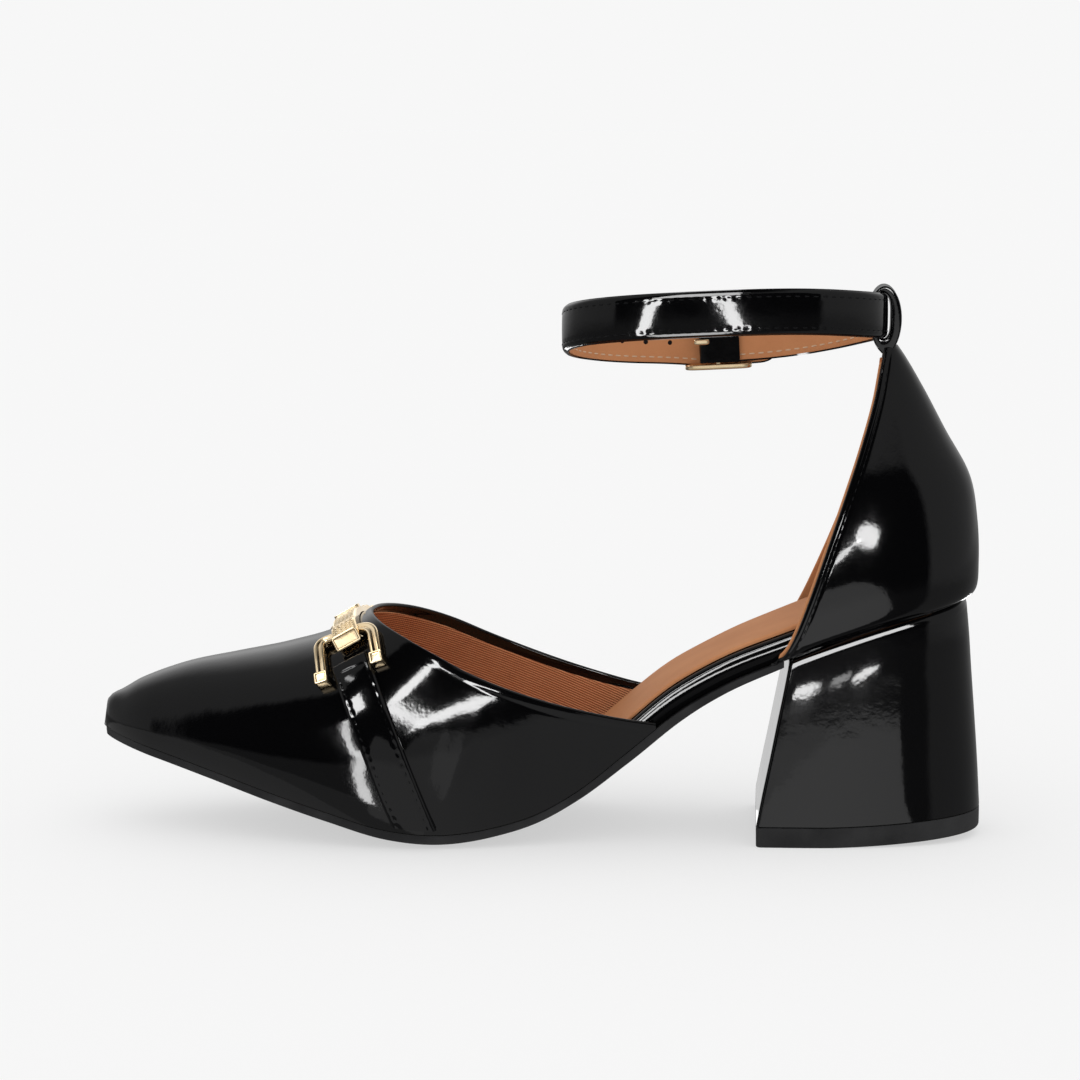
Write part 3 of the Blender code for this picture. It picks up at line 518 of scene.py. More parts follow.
def on_vamp(x, walked, lift):
    """Point above the vamp's skin, a signed distance over the skin from a line beside the ridge."""
    x, walked = np.broadcast_arrays(x, walked)
    turns = np.linspace(-0.5, np.pi + 0.5, 181)
    section = vamp_skin(x[..., None], turns)
    gone = walked_along(section)
    middle = np.argmax(turns >= np.pi / 2)
    part = (np.pi / 2 - turns[middle - 1]) / (turns[middle] - turns[middle - 1])
    gone -= gone[..., middle - 1:middle] * (1 - part) + gone[..., middle:middle + 1] * part + TRIM_MIDDLE
    after = np.clip((gone < walked[..., None]).sum(axis=-1), 1, len(turns) - 1)[..., None]
    low = np.take_along_axis(gone, after - 1, axis=-1)
    high = np.take_along_axis(gone, after, axis=-1)
    part = ((walked[..., None] - low) / (high - low))[..., 0]
    theta = turns[after[..., 0] - 1] + part * (turns[1] - turns[0])
    return vamp_skin(x, theta) + np.asarray(lift)[..., None] * vamp_normal(x, theta)


def side_foot(x, side):
    """Distance over the skin from the line beside the ridge almost down to the feather."""
    lean = between(RIDGE, "lean", x)[..., None]
    theta = np.pi / 2 - (np.pi / 2 + SIDE_FOOT_LEAN * lean) * np.linspace(0, 1, 200)
    section = vamp_skin(x[..., None], np.pi - theta if side > 0 else theta)
    return walked_along(section)[..., -1] - side * TRIM_MIDDLE


def side_strap(side, down, share, lift):
    """Point of a side strap: down from the trim (0) to the sole (1), share across, lift above the vamp."""
    foot = SIDE_TOP
    for _ in range(3):
        low = SIDE_TOP_X + SIDE_SLANT * (foot - SIDE_TOP) + SIDE_HALF * share[:1]
        foot = side_foot(low, side)
    x = SIDE_TOP_X + SIDE_SLANT * (foot - SIDE_TOP) * down + SIDE_HALF * share
    return on_vamp(x, side * (SIDE_TOP + (foot - SIDE_TOP) * down), lift)


def strap_relief(share, half, thick, edge, along, pitch, row_in, depth):
    """Height of a sewn strap's face: a round at each edge, a groove along each stitch row that deepens a little
    at every stitch hole, and a slight swell between the rows."""
    out = half * (1 - abs(share))
    into = np.clip(1 - out / edge, 0, 1)
    round_off = edge * (1 - np.sqrt(1 - into ** 2))
    groove = bell(out - row_in, 0.0005) * (0.65 + 0.35 * np.cos(2 * np.pi * along / pitch))
    return thick - np.minimum(round_off, thick * 0.8) - depth * groove + 0.00018 * (1 - share ** 2)


def thread(centres, along, up, length, radius):
    """Stitches as small bent beads (count, rows, columns, 3): round in section, sunk at both ends."""
    run = np.linspace(-1, 1, 7)[None, :, None, None]
    turn = np.linspace(0, 2 * np.pi, 9)[None, None, :, None]
    side = np.cross(along, up)
    girth = radius * np.sqrt(np.clip(1 - run ** 4, 0, 1))
    c, a, u, w = (v[:, None, None, :] for v in (centres, along, up, side))
    bow = -0.7 * radius * run ** 2
    return c + a * run * length / 2 + u * (girth * np.sin(turn) + bow) + w * girth * np.cos(turn)


def at_distance(at, walked, values):
    """Values at distances along a path, each column interpolated."""
    return np.stack([np.interp(at, walked, column) for column in values.T], axis=-1)


def sewn_row(path, up, pitch, length, radius):
    """Stitches at an even pitch along a path of points, each lying along the path."""
    walked = walked_along(path)
    at = np.arange(0.5 * pitch, walked[-1] - 0.4 * pitch, pitch)
    centre = at_distance(at, walked, path)
    ahead = at_distance(at + 1e-4, walked, path)
    return thread(centre, unit(ahead - centre), unit(at_distance(at, walked, up)), length, radius)


def sewn_side(side, down, share, sunk, pitch, length):
    """Stitches along or across a side strap, sunk below its face."""
    top = GAP + SIDE_THICK
    path, above = (side_strap(side, down, share, lift).reshape(-1, 3) for lift in (top - sunk, top + 0.001))
    return sewn_row(path, above - path, pitch, length, STITCH_RADIUS)


def lapped(face, back):
    """A strap's two faces as one closed grid, its ends drawn to the middle of the wall."""
    return sleeve(np.concatenate((face, back[:, ::-1]), axis=1))


def spun(name, colour, roughness, specular):
    """Matt thread with a fine twist."""
    material, inputs, wire = finish(name, colour, roughness, specular)
    relief(wire, inputs, noise(wire, 5000.0, 1.0) * 0.00008)
    return material


black_thread = spun("thread_black", (0.008, 0.008, 0.009), 0.75, 0.15)
down = np.linspace(0, 1, 230)[:, None]
share = np.sin(np.linspace(-np.pi / 2, np.pi / 2, 41))[None, :]
walked = down * SIDE_LENGTH
face = strap_relief(share, SIDE_HALF, SIDE_THICK, SIDE_EDGE, walked, STITCH_PITCH, STITCH_IN, 0.00010)
top_row = bell(walked - SIDE_TOP_SEAM, 0.0006) * np.clip(1 - abs(share) / 0.8, 0, 1) ** 0.3
end_round = 0.0010 * np.clip(1 - walked / 0.0012, 0, 1) ** 2
face = face - 0.00012 * top_row - end_round
edge_run = np.linspace(0.09, 0.97, 200)[:, None]
across = np.linspace(-0.62, 0.62, 30)[None, :]
for side, label in ((-1, "inner"), (1, "outer")):
    rings = lapped(side_strap(side, down, share, GAP + face), side_strap(side, down, share, GAP + 0 * face))
    add_piece(f"side_strap_{label}", rings, patent, [f"vamp_strap_{label}"])
    rows = []
    for row in (-1, 1):
        at = np.full((1, 1), row * (1 - STITCH_IN / SIDE_HALF))
        rows.append(sewn_side(side, edge_run, at, 0.00010, STITCH_PITCH, 0.0016))
    top_seam = np.full((1, 1), SIDE_TOP_SEAM / SIDE_LENGTH)
    rows.append(sewn_side(side, top_seam, across, 0.00018, 0.0021, 0.0013))
    add_piece(f"side_strap_thread_{label}", rows, black_thread)


# Vamp trim
# A cast and plated metal ornament over the throat: a bar set with rows of small pyramids, and at each end a
# stirrup whose rods straddle the side strap. Rimmed plates and square feet are set on it, in the same gold.
TRIM_X, TRIM_SWEEP, BAR_HALF, BAR_REACH, BAR_THICK, BAR_RISE = -0.0532, 6.5, 0.0034, 0.0249, 0.0019, 0.0014
BRACKET = table("x walked", (-0.0566, 0.0319), (-0.0594, 0.0155), (-0.0440, 0.0201), (-0.0414, 0.0339))
BRACKET_CORNER, BRACKET_WIDE, BRACKET_HIGH = 0.0042, 0.0032, 0.0027
STUD_PITCH, STUD_HIGH, STUD_ROWS = 0.00130, 0.00034, 5
PLATES = table("walked half lift deep tip", (-0.0222, 0.0021, 0.0029, 0.0008, 1.0),
               (0.0035, 0.0012, 0.0018, 0.0009, 0.0), (0.0222, 0.0021, 0.0029, 0.0008, 1.0))
PLATE_LENGTH, PANEL_RIM = 0.0039, 0.0005
FOOT_SIZE, FOOT_BACK, FOOT_LIFT = (0.0019, 0.0018, 0.0017), 0.0013, 0.0003
BAR_END, BAR_RISE_FROM, BAR_RISE_OVER = 0.0042, 0.010, 0.006


def stirrup_path(count):
    """Even points along the bracket's corners, each inner corner replaced by a quadratic curve."""
    corners = np.stack((BRACKET["x"], BRACKET["walked"]), axis=-1)
    t = np.linspace(0, 1, 16)[:, None]
    path = [corners[:1]]
    for before, corner, after in zip(corners[:-2], corners[1:-1], corners[2:]):
        start = corner + BRACKET_CORNER * unit(before - corner)
        end = corner + BRACKET_CORNER * unit(after - corner)
        path.append((1 - t) ** 2 * start + 2 * t * (1 - t) * corner + t * t * end)
    path = np.concatenate(path + [corners[-1:]])
    walked = walked_along(path)
    return at_distance(np.linspace(0, walked[-1], count), walked, path).T


def trim_rod(side, count):
    """Stirrup rods on the vamp: a rounded square section with a shallow groove along its outer face."""
    x, walked = stirrup_path(count)
    middle = on_vamp(x, side * walked, np.full_like(x, GAP + BRACKET_HIGH / 2))
    up = unit(on_vamp(x, side * walked, np.full_like(x, GAP + BRACKET_HIGH)) - middle)
    across = unit(np.cross(np.gradient(middle, axis=0), up))
    turn = np.linspace(0, 2 * np.pi, 49)[:-1]
    a, b = (signed_power(v, 0.55)[None, :, None] for v in (np.cos(turn), np.sin(turn)))
    b = b - 0.30 * bell(a, 0.30) * (b > 0.5)
    ring = a * BRACKET_WIDE / 2 * across[:, None] + b * BRACKET_HIGH / 2 * up[:, None]
    return middle[:, None] + ring, middle, across, up


def block(centre, axes, sizes, edge):
    """Rounded block: a superellipsoid of the given half sizes along three axes."""
    turn = np.linspace(-np.pi, np.pi, 49)[None, :, None]
    rise = np.linspace(-np.pi / 2, np.pi / 2, 25)[:, None, None]
    a, b, c = (np.asarray(axis) * size for axis, size in zip(axes, sizes))
    flat_ring = signed_power(np.cos(turn), edge) * a + signed_power(np.sin(turn), edge) * b
    wide, high = signed_power(np.cos(rise), edge), signed_power(np.sin(rise), edge)
    return np.asarray(centre) + wide * flat_ring + high * c


def panel(centre, axes, sizes):
    """Square-cut block with a raised rim: rounded rectangles up its side, over the rim and into the recess."""
    deep, rim = sizes[2], PANEL_RIM
    inset = np.array((0.0002, 0, 0, 0.00006, 0.0002, rim - 0.0001, rim, rim + 0.0001,
                      rim + 0.0003))[:, None, None]
    height = np.array((-deep, 0.0002 - deep, deep - 0.0002, deep - 0.00006, deep, deep, deep - 0.00006,
                       deep - 0.0003, deep - 0.00034))[:, None, None]
    turn = np.linspace(0, 2 * np.pi, 65)[None, :-1, None]
    a = signed_power(np.cos(turn), 0.22) * (sizes[0] - inset)
    b = signed_power(np.sin(turn), 0.22) * (sizes[1] - inset)
    return tube(np.asarray(centre) + a * axes[0] + b * axes[1] + height * axes[2])


def eased(part):
    """Smooth step from 0 to 1 as a part goes from 0 to 1."""
    part = np.clip(part, 0, 1)
    return part * part * (3 - 2 * part)


def trim_bar():
    """Bar over the ridge, thicker where it crosses the stirrups: pyramids in rows on its face, each rising from
    its edges to a point in the middle."""
    count = 2 * int(round(2 * BAR_REACH / STUD_PITCH)) + 1
    walked = np.linspace(-1, 1, count)[:, None] * (BAR_REACH - BAR_END)
    share = np.linspace(-0.86, 0.86, 2 * STUD_ROWS + 1)[None, :]
    odd = (np.arange(count)[:, None] % 2) * (np.arange(2 * STUD_ROWS + 1)[None, :] % 2)
    middle = TRIM_X + TRIM_SWEEP * walked ** 2
    thick = BAR_THICK + BAR_RISE * eased((abs(walked) - BAR_RISE_FROM) / BAR_RISE_OVER)
    face = on_vamp(middle + BAR_HALF * share, walked + 0 * share, GAP + thick + STUD_HIGH * odd)
    skirt = ((0.93, 0.98), (1.0, 0.85), (1.0, 0.0))
    right, left = ([on_vamp(middle + side * BAR_HALF * a, walked, GAP + thick * h) for a, h in skirt]
                   for side in (1, -1))
    return np.concatenate([face, *right, *left[::-1]], axis=1)


gold, gold_in, wire = finish("trim_gold", (0.95, 0.76, 0.48), 0.3, metallic=1.0)
wear = noise(wire, 700.0, 3.0)
relief(wire, gold_in, wear * 0.00002)
(wear * 0.16 + 0.10).drive(gold_in["Roughness"])
blotched(wire, gold_in, noise(wire, 160.0, 2.0), (0.94, 0.71, 0.41), (1.0, 0.82, 0.55))
trim_grids = [tube(trim_bar())]
for side in (-1, 1):
    rings, middle, across, up = trim_rod(side, 120)
    trim_grids.append(tube(rings))
    for end, inward in ((0, 4), (-1, -5)):
        along = unit(middle[end] - middle[inward])
        centre = middle[end] - along * FOOT_BACK + up[end] * FOOT_LIFT
        trim_grids.append(panel(centre, (across[end], along, up[end]), FOOT_SIZE))
for walked, half, lift, deep, tip in zip(*PLATES.values()):
    plate_x = TRIM_X + TRIM_SWEEP * walked ** 2 + np.array((-0.001, 0.0, 0.001))
    low, high = (on_vamp(plate_x, np.full(3, walked), np.full(3, GAP + h)) for h in (lift, lift + 0.001))
    along = unit(low[2] - low[0])
    out = unit(high[1] - low[1])
    out = unit(out + np.sign(walked) * tip * np.cross(out, along))
    trim_grids.append(panel(low[1], (along, np.cross(out, along), out), (PLATE_LENGTH, half, deep)))
add_piece("trim", trim_grids, gold, ["vamp_trim"], sharp=28)


# Counter
# The back of the upper, a stiffened shell of patent that stands up behind the heel to a spur, lined in tan.
# Its two front edges are folded and sewn; at the top it runs into a folded loop that carries the strap.
COUNTER_SHELL, COUNTER_SEAM, LINING_PROUD = 0.0012, 0.0017, 0.0008
COUNTER = table(
    "level front_x_in front_x_out front_z back_x back_z half fullness wall",
    (0.00, 0.0670, 0.0670, 0.0515, 0.1187, 0.0674, 0.0254, 3.0, 0.0021),
    (0.09, 0.0702, 0.0712, 0.0592, 0.1212, 0.0716, 0.0266, 2.8, 0.0021),
    (0.22, 0.0749, 0.0772, 0.0710, 0.1219, 0.0795, 0.0267, 2.6, 0.0021),
    (0.37, 0.0800, 0.0833, 0.0840, 0.1213, 0.0900, 0.0250, 2.4, 0.0021),
    (0.53, 0.0853, 0.0888, 0.0982, 0.1189, 0.1010, 0.0214, 2.2, 0.0021),
    (0.68, 0.0896, 0.0925, 0.1110, 0.1123, 0.1125, 0.0166, 2.1, 0.0020),
    (0.82, 0.0928, 0.0946, 0.1225, 0.1062, 0.1238, 0.0118, 2.0, 0.0019),
    (0.94, 0.0945, 0.0951, 0.1318, 0.1010, 0.1326, 0.0074, 2.0, 0.0015),
    (1.00, 0.0952, 0.0954, 0.1354, 0.0988, 0.1358, 0.0054, 2.0, 0.0011))
LOOP_BOTTOM, LOOP_TOP = (0.0954, 0.1333), (0.0949, 0.1524)
LOOP_SLOT_X, LOOP_SLOT_Z, LOOP_LEAN = (0.0929, 0.0966), (0.1376, 0.1500), 0.11
LOOP_HALF_DEPTH, LOOP_HALF_WIDTH, LOOP_BAND, LOOP_SHARPNESS = 0.0038, 0.0046, 0.0020, 0.2


def counter_at(level, column):
    """A column of the counter's table at a level."""
    return between(COUNTER, column, level, "level")


def front_edge(level, turn):
    """Where the counter's front edge lies along x, on the inner or the outer side."""
    return np.where(turn < 0, counter_at(level, "front_x_in"), counter_at(level, "front_x_out"))


def counter_skin(level, turn):
    """Outer point of the counter: level from seat to neck, turn from the inner to the outer front edge."""
    power = 2 / counter_at(level, "fullness")
    deep = np.clip(np.cos(turn), 0, 1) ** power
    front_x, front_z = front_edge(level, turn), counter_at(level, "front_z")
    x = front_x + (counter_at(level, "back_x") - front_x) * deep
    y = counter_at(level, "half") * signed_power(np.sin(turn), power)
    slant = front_z + (counter_at(level, "back_z") - front_z) * deep
    seat = (1 - level) ** 6 * (feather_z(x) - slant)
    return np.stack((x, y, slant + seat), axis=-1)


def eased_turns(count):
    """Turns from one front edge to the other, crowded at the edges and at the back where the curve is fast."""
    w = np.linspace(-1, 1, count)
    part = abs(w) ** 1.6 / (abs(w) ** 1.6 + (1 - abs(w)) ** 1.6)
    return (np.sign(w) * part * np.pi / 2)[None, :]


def counter_normal(points):
    """Outward directions of the counter's grid: slope along the row crossed with slope up the levels."""
    normal = np.cross(np.gradient(points, axis=1), np.gradient(points, axis=0))
    normal[:1, :, 2] = 0
    return unit(normal)


def strap_loop():
    """Folded band round the strap, from a teardrop outside (x by sin(t) and a power of sin(t/2), z by cos(t))
    to a rounded slot inside, square-cut at both ends."""
    turn = np.linspace(0, 2 * np.pi, 97)[:-1, None]
    rise = (1 - np.cos(turn)) / 2
    (low_x, low_z), (high_x, high_z) = LOOP_BOTTOM, LOOP_TOP
    teardrop = np.sin(turn) * np.sin(turn / 2) ** LOOP_SHARPNESS
    outer_x = low_x + (high_x - low_x) * rise + (LOOP_HALF_DEPTH + LOOP_BAND / 2) * teardrop
    outer_z = low_z + (high_z - low_z) * rise
    (left_x, right_x), (bottom_z, top_z) = LOOP_SLOT_X, LOOP_SLOT_Z
    slot_x = (left_x + right_x) / 2 + (right_x - left_x) / 2 * np.where(
        turn < np.pi, abs(np.sin(turn)) ** 1.1, -abs(np.sin(turn)) ** 0.6)
    round_ = np.linspace(0, 2 * np.pi, 33)[None, :-1]
    grow = signed_power(np.sin(round_), 0.25)
    side = LOOP_HALF_WIDTH * signed_power(np.cos(round_), 0.18)
    slot_z = (bottom_z + top_z) / 2 - (top_z - bottom_z) / 2 * signed_power(np.cos(turn), 0.5)
    slot_z = slot_z - LOOP_LEAN * side
    x = (outer_x + slot_x) / 2 + (outer_x - slot_x) / 2 * grow
    z = (outer_z + slot_z) / 2 + (outer_z - slot_z) / 2 * grow
    band = np.stack((x, side + 0 * x, z), axis=-1)
    band = np.concatenate((band, band[:1]), axis=0)
    return np.concatenate((band, band[:, :1]), axis=1)


def seam_turn(level, edge):
    """Turn at which the seam runs, the same distance behind the front edge at every level."""
    front = front_edge(level, edge)
    deep = COUNTER_SEAM / (counter_at(level, "back_x") - front)
    return edge * np.arccos(deep ** (counter_at(level, "fullness") / 2))


level, turn = np.broadcast_arrays(np.linspace(0, 1, 110)[:, None], eased_turns(201))
counter_outer = counter_skin(level, turn)
counter_out = counter_normal(counter_outer)
edge_in = counter_outer[..., 0] - front_edge(level, turn)
pressed = 0.00016 * bell(edge_in - COUNTER_SEAM, 0.0004) - 0.00010 * bell(edge_in - 0.0006, 0.0005)
counter_outer = counter_outer - pressed[..., None] * counter_out
tuck_in, tuck_down = np.array(((0.0014, 0.0007, 0.0002), (0.0006, 0.0005, 0.0003)))[:, :, None, None]
tucked = counter_outer[:1] - tuck_in * counter_out[:1] - tuck_down * np.array((0, 0, 1))
wall = counter_at(level, "wall")[..., None]
shell = np.minimum(COUNTER_SHELL, wall * 0.6)
skin_rows = np.concatenate((tucked, counter_outer))
skin_out = np.concatenate((*[counter_out[:1]] * len(tucked), counter_out))
skin_shell = np.concatenate((shell[:3, :1], shell[:, :1]))
counter_rings = sleeve(rolled_sheet(skin_rows, skin_out, skin_shell, True))
add_piece("counter_upper", [counter_rings, strap_loop()], patent, ["counter"])

lined = slice(4, 104)
lining_outer = counter_skin(level[lined], turn[lined])
lining_normal = counter_normal(lining_outer)
lining_outer = lining_outer - (shell[lined] + LINING_GAP) * lining_normal
lining_outer[..., 0] -= LINING_PROUD * bell(edge_in[lined], 0.0010)
thin = (wall - shell)[lined, :1]
add_piece("counter_lining", sleeve(rolled_sheet(lining_outer, lining_normal, thin, True)), tan)

rows = []
seam_level = np.linspace(0.03, 0.93, 260)
for edge in (-1, 1):
    for_turn = seam_turn(seam_level, edge)
    path = counter_skin(seam_level, for_turn)
    aside = counter_skin(seam_level, for_turn + 0.003)
    rise = unit(np.cross(aside - path, np.gradient(path, axis=0)))
    rows.append(sewn_row(path - 0.00016 * rise, rise, 0.0024, 0.0015, STITCH_RADIUS))
add_piece("counter_thread", rows, black_thread)


# Heel
# A flared block of moulded plastic covered in patent, flat across its breast, nailed up through the seat.
# A matt rubber top lift is fixed under it, flat at the front and eased up towards the back.
HEEL = table(
    "level front_x rear_x half fullness",
    (0.00, 0.0694, 0.1188, 0.0246, 3.0), (0.12, 0.0684, 0.1195, 0.0248, 3.0),
    (0.30, 0.0668, 0.1203, 0.0249, 2.9), (0.55, 0.0647, 0.1215, 0.0252, 2.8),
    (0.80, 0.0626, 0.1226, 0.0256, 2.7), (1.00, 0.0611, 0.1233, 0.0260, 2.7))
LIFT_THICK, LIFT_PROUD, TREAD_FLAT_X, TREAD_RISE = 0.0055, 0.0002, 0.0800, 0.0024
BREAST_EDGE, HEEL_ROLL = 0.0011, 0.0032


def heel_ring(level, grow):
    """Closed ring round the heel at each level: a superellipse at the back, a flat breast with eased edges."""
    level = np.asarray(level, dtype=float)[:, None]

    def row(name):
        return between(HEEL, name, level, "level")

    w = np.linspace(0, 1, 61)
    turn = (w ** 1.2 / (w ** 1.2 + (1 - w) ** 1.2) * np.pi / 2)[None, :]
    power = 2 / row("fullness")
    front = row("front_x") + BREAST_EDGE
    half = row("half") + grow
    x = front + (row("rear_x") - front) * np.clip(np.cos(turn), 0, 1) ** power
    y = half * np.sin(turn) ** power
    corner = np.linspace(0, np.pi / 2, 9)[None, 1:]
    corner_x = front - BREAST_EDGE * np.sin(corner)
    corner_y = half - BREAST_EDGE * (1 - np.cos(corner))
    flat = np.linspace(1, 0, 8)[None, 1:]
    flat_x = row("front_x") + 0 * flat
    flat_y = (half - BREAST_EDGE) * flat
    side_x = np.concatenate((x, corner_x, flat_x), axis=1)
    side_y = np.concatenate((y, corner_y, flat_y), axis=1)
    ring_x = np.concatenate((side_x, side_x[:, -2:0:-1]), axis=1)
    ring_y = np.concatenate((-side_y, side_y[:, -2:0:-1]), axis=1)
    return ring_x, ring_y


def tread_rise(x):
    """Lift of the tread towards the back, flat under the front of the heel."""
    part = np.clip((x - TREAD_FLAT_X) / (HEEL["rear_x"][-1] - TREAD_FLAT_X), 0, 1)
    return TREAD_RISE * part ** 1.4


level = np.concatenate((np.zeros(9), np.linspace(0, 1, 70)[1:]))
roll = np.concatenate((np.linspace(0, np.pi / 2, 9), np.full(69, np.pi / 2)))[:, None]
x, y = heel_ring(level, 0.0)
tuck = HEEL_ROLL * (1 - np.sin(roll))
heel_top = feather_z(x)
heel_low = LIFT_THICK + GAP + tread_rise(x)
heel_z = heel_top - HEEL_ROLL * (1 - np.cos(roll)) + (heel_low - heel_top + HEEL_ROLL) * level[:, None]
toward_x = (HEEL["front_x"][0] + HEEL["rear_x"][0]) / 2 - x
heel_rings = np.stack((x + tuck * np.sign(toward_x) * np.minimum(abs(toward_x) / 0.02, 1),
                       y - tuck * np.sign(y) * np.minimum(abs(y) / 0.02, 1), heel_z), axis=-1)
add_piece("heel_cover", tube(heel_rings), patent, ["heel_block"])

x, y = heel_ring(np.ones(14), LIFT_PROUD)
height = np.array((1, 0.985, 0.95, 0.90, 0.80, 0.65, 0.5, 0.35, 0.2, 0.12, 0.07, 0.03, 0.01, 0.0))[:, None]
ease = 1 - 0.010 * np.array((1.0, 0.5, 0.15, 0, 0, 0, 0, 0, 0, 0, 0.1, 0.4, 0.8, 1.2))[:, None]
middle_x = (x.max() + x.min()) / 2
lift_z = LIFT_THICK * height + tread_rise(x)
lift_rings = np.stack((middle_x + (x - middle_x) * ease, y * ease, lift_z), axis=-1)
add_piece("heel_lift", tube(lift_rings), rubber, ["top_lift"])


# Ankle strap
# A narrow strap of patent lined in tan, cut edges painted black, sewn along both edges. It passes through the
# counter's loop; its rear end is turned round the buckle's bar, its front end is holed and lies on the outside.
STRAP_FRONT_X, STRAP_REAR_X, STRAP_HALF_Y, STRAP_FULLNESS = 0.0078, 0.0946, 0.0297, 2.25
STRAP_FRONT_Z, STRAP_REAR_Z, STRAP_TILT, STRAP_LOOP_EASE = 0.1393, 0.1438, 0.215, 0.5
STRAP_WIDTH, STRAP_THICK, STRAP_LINING = 0.0124, 0.0024, 0.0007
STRAP_START, STRAP_TAIL, STRAP_LIFT_TURNS, STRAP_TAIL_LIFT = 1.587, -4.98, (-4.20, -4.58), 0.0031
STRAP_TAIL_DROP = 0.0012
STRAP_EDGE, STRAP_PITCH, STRAP_SEAM_IN = 0.0015, 0.0026, 0.0020
HOLE_FIRST, HOLE_PITCH, HOLE_COUNT, HOLE_RADIUS = 0.0302, 0.0074, 5, 0.0007


def strap_path(turn):
    """Middle line of the strap, an oval leaning outwards; the turn goes from the rear end round the heel, the
    inner side and the front to the tail, which is lifted over the rear end."""
    power = 2 / STRAP_FULLNESS
    half_x = (STRAP_REAR_X - STRAP_FRONT_X) / 2
    first, last = STRAP_LIFT_TURNS
    part = np.clip((turn - first) / (last - first), 0, 1)
    lift = STRAP_TAIL_LIFT * eased(part)
    x = STRAP_FRONT_X + half_x + half_x * signed_power(np.cos(turn), power)
    y = STRAP_HALF_Y * signed_power(np.sin(turn), power)
    back = (x - STRAP_FRONT_X) / (2 * half_x)
    tilt = STRAP_TILT * (1 - STRAP_LOOP_EASE * back ** 6)
    z = STRAP_FRONT_Z + (STRAP_REAR_Z - STRAP_FRONT_Z) * back ** 2 - tilt * y - STRAP_TAIL_DROP * part * part
    return np.stack((x, y * (1 + lift / STRAP_HALF_Y), z), axis=-1)


def strap_frame(turn):
    """Outward and upward directions across the strap."""
    along = strap_path(turn + 1e-4) - strap_path(turn - 1e-4)
    out = unit(np.stack((along[..., 1], -along[..., 0], np.zeros_like(turn)), axis=-1))
    up = unit(np.cross(along, out))
    return out, up * np.sign(up[..., 2:])


def strap_point(turn, out_by, up_by):
    """Point beside the strap's middle line, so far outwards and so far up."""
    out, up = strap_frame(turn)
    return strap_path(turn) + out_by[..., None] * out + up_by[..., None] * up


def walked_turns(start, end, count):
    """Turns at even distances along the strap, and those distances."""
    fine = np.linspace(start, end, 4000)
    gone = walked_along(strap_path(fine))
    at = np.linspace(0, gone[-1], count)
    return np.interp(at, gone, fine), at


turn, along = walked_turns(STRAP_START, STRAP_TAIL, 760)
turn, along = turn[:, None], along[:, None]
share = np.sin(np.linspace(-np.pi / 2, np.pi / 2, 33))[None, :]
half = STRAP_WIDTH / 2
tail_end = along[-1] - along
slant = np.clip(tail_end / 0.004, 0, 1)
narrow = 0.72 + 0.28 * np.sqrt(1 - (1 - slant) ** 2)
face = strap_relief(share, half, STRAP_THICK / 2, STRAP_EDGE, along, STRAP_PITCH, STRAP_SEAM_IN, 0.00008)
back = -STRAP_THICK / 2 + STRAP_LINING + 0 * face
up_by = share * half * narrow
across_turn = turn + 0 * share
strap_rings = lapped(strap_point(across_turn, face, up_by), strap_point(across_turn, back, up_by))
add_piece("strap_patent", strap_rings, patent, ["ankle_strap"])

lining_up = up_by * (half - 0.0005) / half
lining_in = strap_point(across_turn, -STRAP_THICK / 2 + 0.0003 * abs(share) ** 8 + 0 * turn, lining_up)
lining_base = strap_point(across_turn, back - LINING_GAP, lining_up)
add_piece("strap_lining", lapped(lining_base, lining_in), tan)


def sewn_strap(face, length, radius):
    """Stitches along both edges of the strap, on its outer face (1) or its inner one (-1)."""
    sewn = turn[6:-12, 0]
    out, _ = strap_frame(sewn)
    lift = np.full_like(sewn, face * STRAP_THICK / 2 + 0.00002)
    paths = [strap_point(sewn, lift, np.full_like(sewn, edge * (half - STRAP_SEAM_IN))) for edge in (-1, 1)]
    return [sewn_row(path, face * out, STRAP_PITCH, length, radius) for path in paths]


add_piece("strap_thread", sewn_strap(1, 0.0017, 0.00020), black_thread)

# Each hole is filled with a black plug in the thread finish: painted shade standing in for the opening.
hole_turn = np.interp(along[-1, 0] - HOLE_FIRST - HOLE_PITCH * np.arange(HOLE_COUNT), along[:, 0], turn[:, 0])
out, up = strap_frame(hole_turn)
bore = np.array((-1.02, -1.0, 1.10, 1.12))[None, :, None, None] * STRAP_THICK / 2
spin = np.linspace(0, 2 * np.pi, 17)[None, None, :-1, None]
wide = HOLE_RADIUS * np.array((0.8, 1.0, 1.0, 0.8))[None, :, None, None]
punched = (strap_path(hole_turn)[:, None, None] + bore * out[:, None, None]
           + wide * (np.cos(spin) * np.cross(out, up)[:, None, None] + np.sin(spin) * up[:, None, None]))
add_piece("strap_hole_shade", tube(punched), black_thread)

pale_thread = spun("thread_pale", (0.62, 0.44, 0.29), 0.6, 0.5)
add_piece("strap_lining_thread", sewn_strap(-1, 0.0020, 0.00022), pale_thread)


# Buckle
# A plated rectangular frame with a bar across its middle; the strap's rear end is folded round the bar and the
# prong sits on it, lying over the strap's tail with its tip on the front of the frame.
BUCKLE_X, BUCKLE_LENGTH, BUCKLE_HEIGHT, BUCKLE_ROD = 0.0490, 0.0190, 0.0166, 0.0018
BUCKLE_INNER, BUCKLE_OUTER = -0.0009, 0.0064
KEEPER_PLACE, KEEPER_SIZE = (-0.0045, -0.0021, 0.0), (0.0023, 0.0008, 0.0009)
PRONG_ROD, PRONG_ROOT, PRONG_TIP = 0.0014, (0.0015, 0.0053), (-0.0102, 0.0076)
fine = np.linspace(STRAP_START, 2.0, 400)
path = strap_path(fine)
nearest = np.argmin(abs(path[:, 0] - BUCKLE_X))
run = unit(path[nearest + 1] - path[nearest - 1])
lean_x = unit(np.array((abs(run[0]), 0.0, run[2] * np.sign(run[0]))))
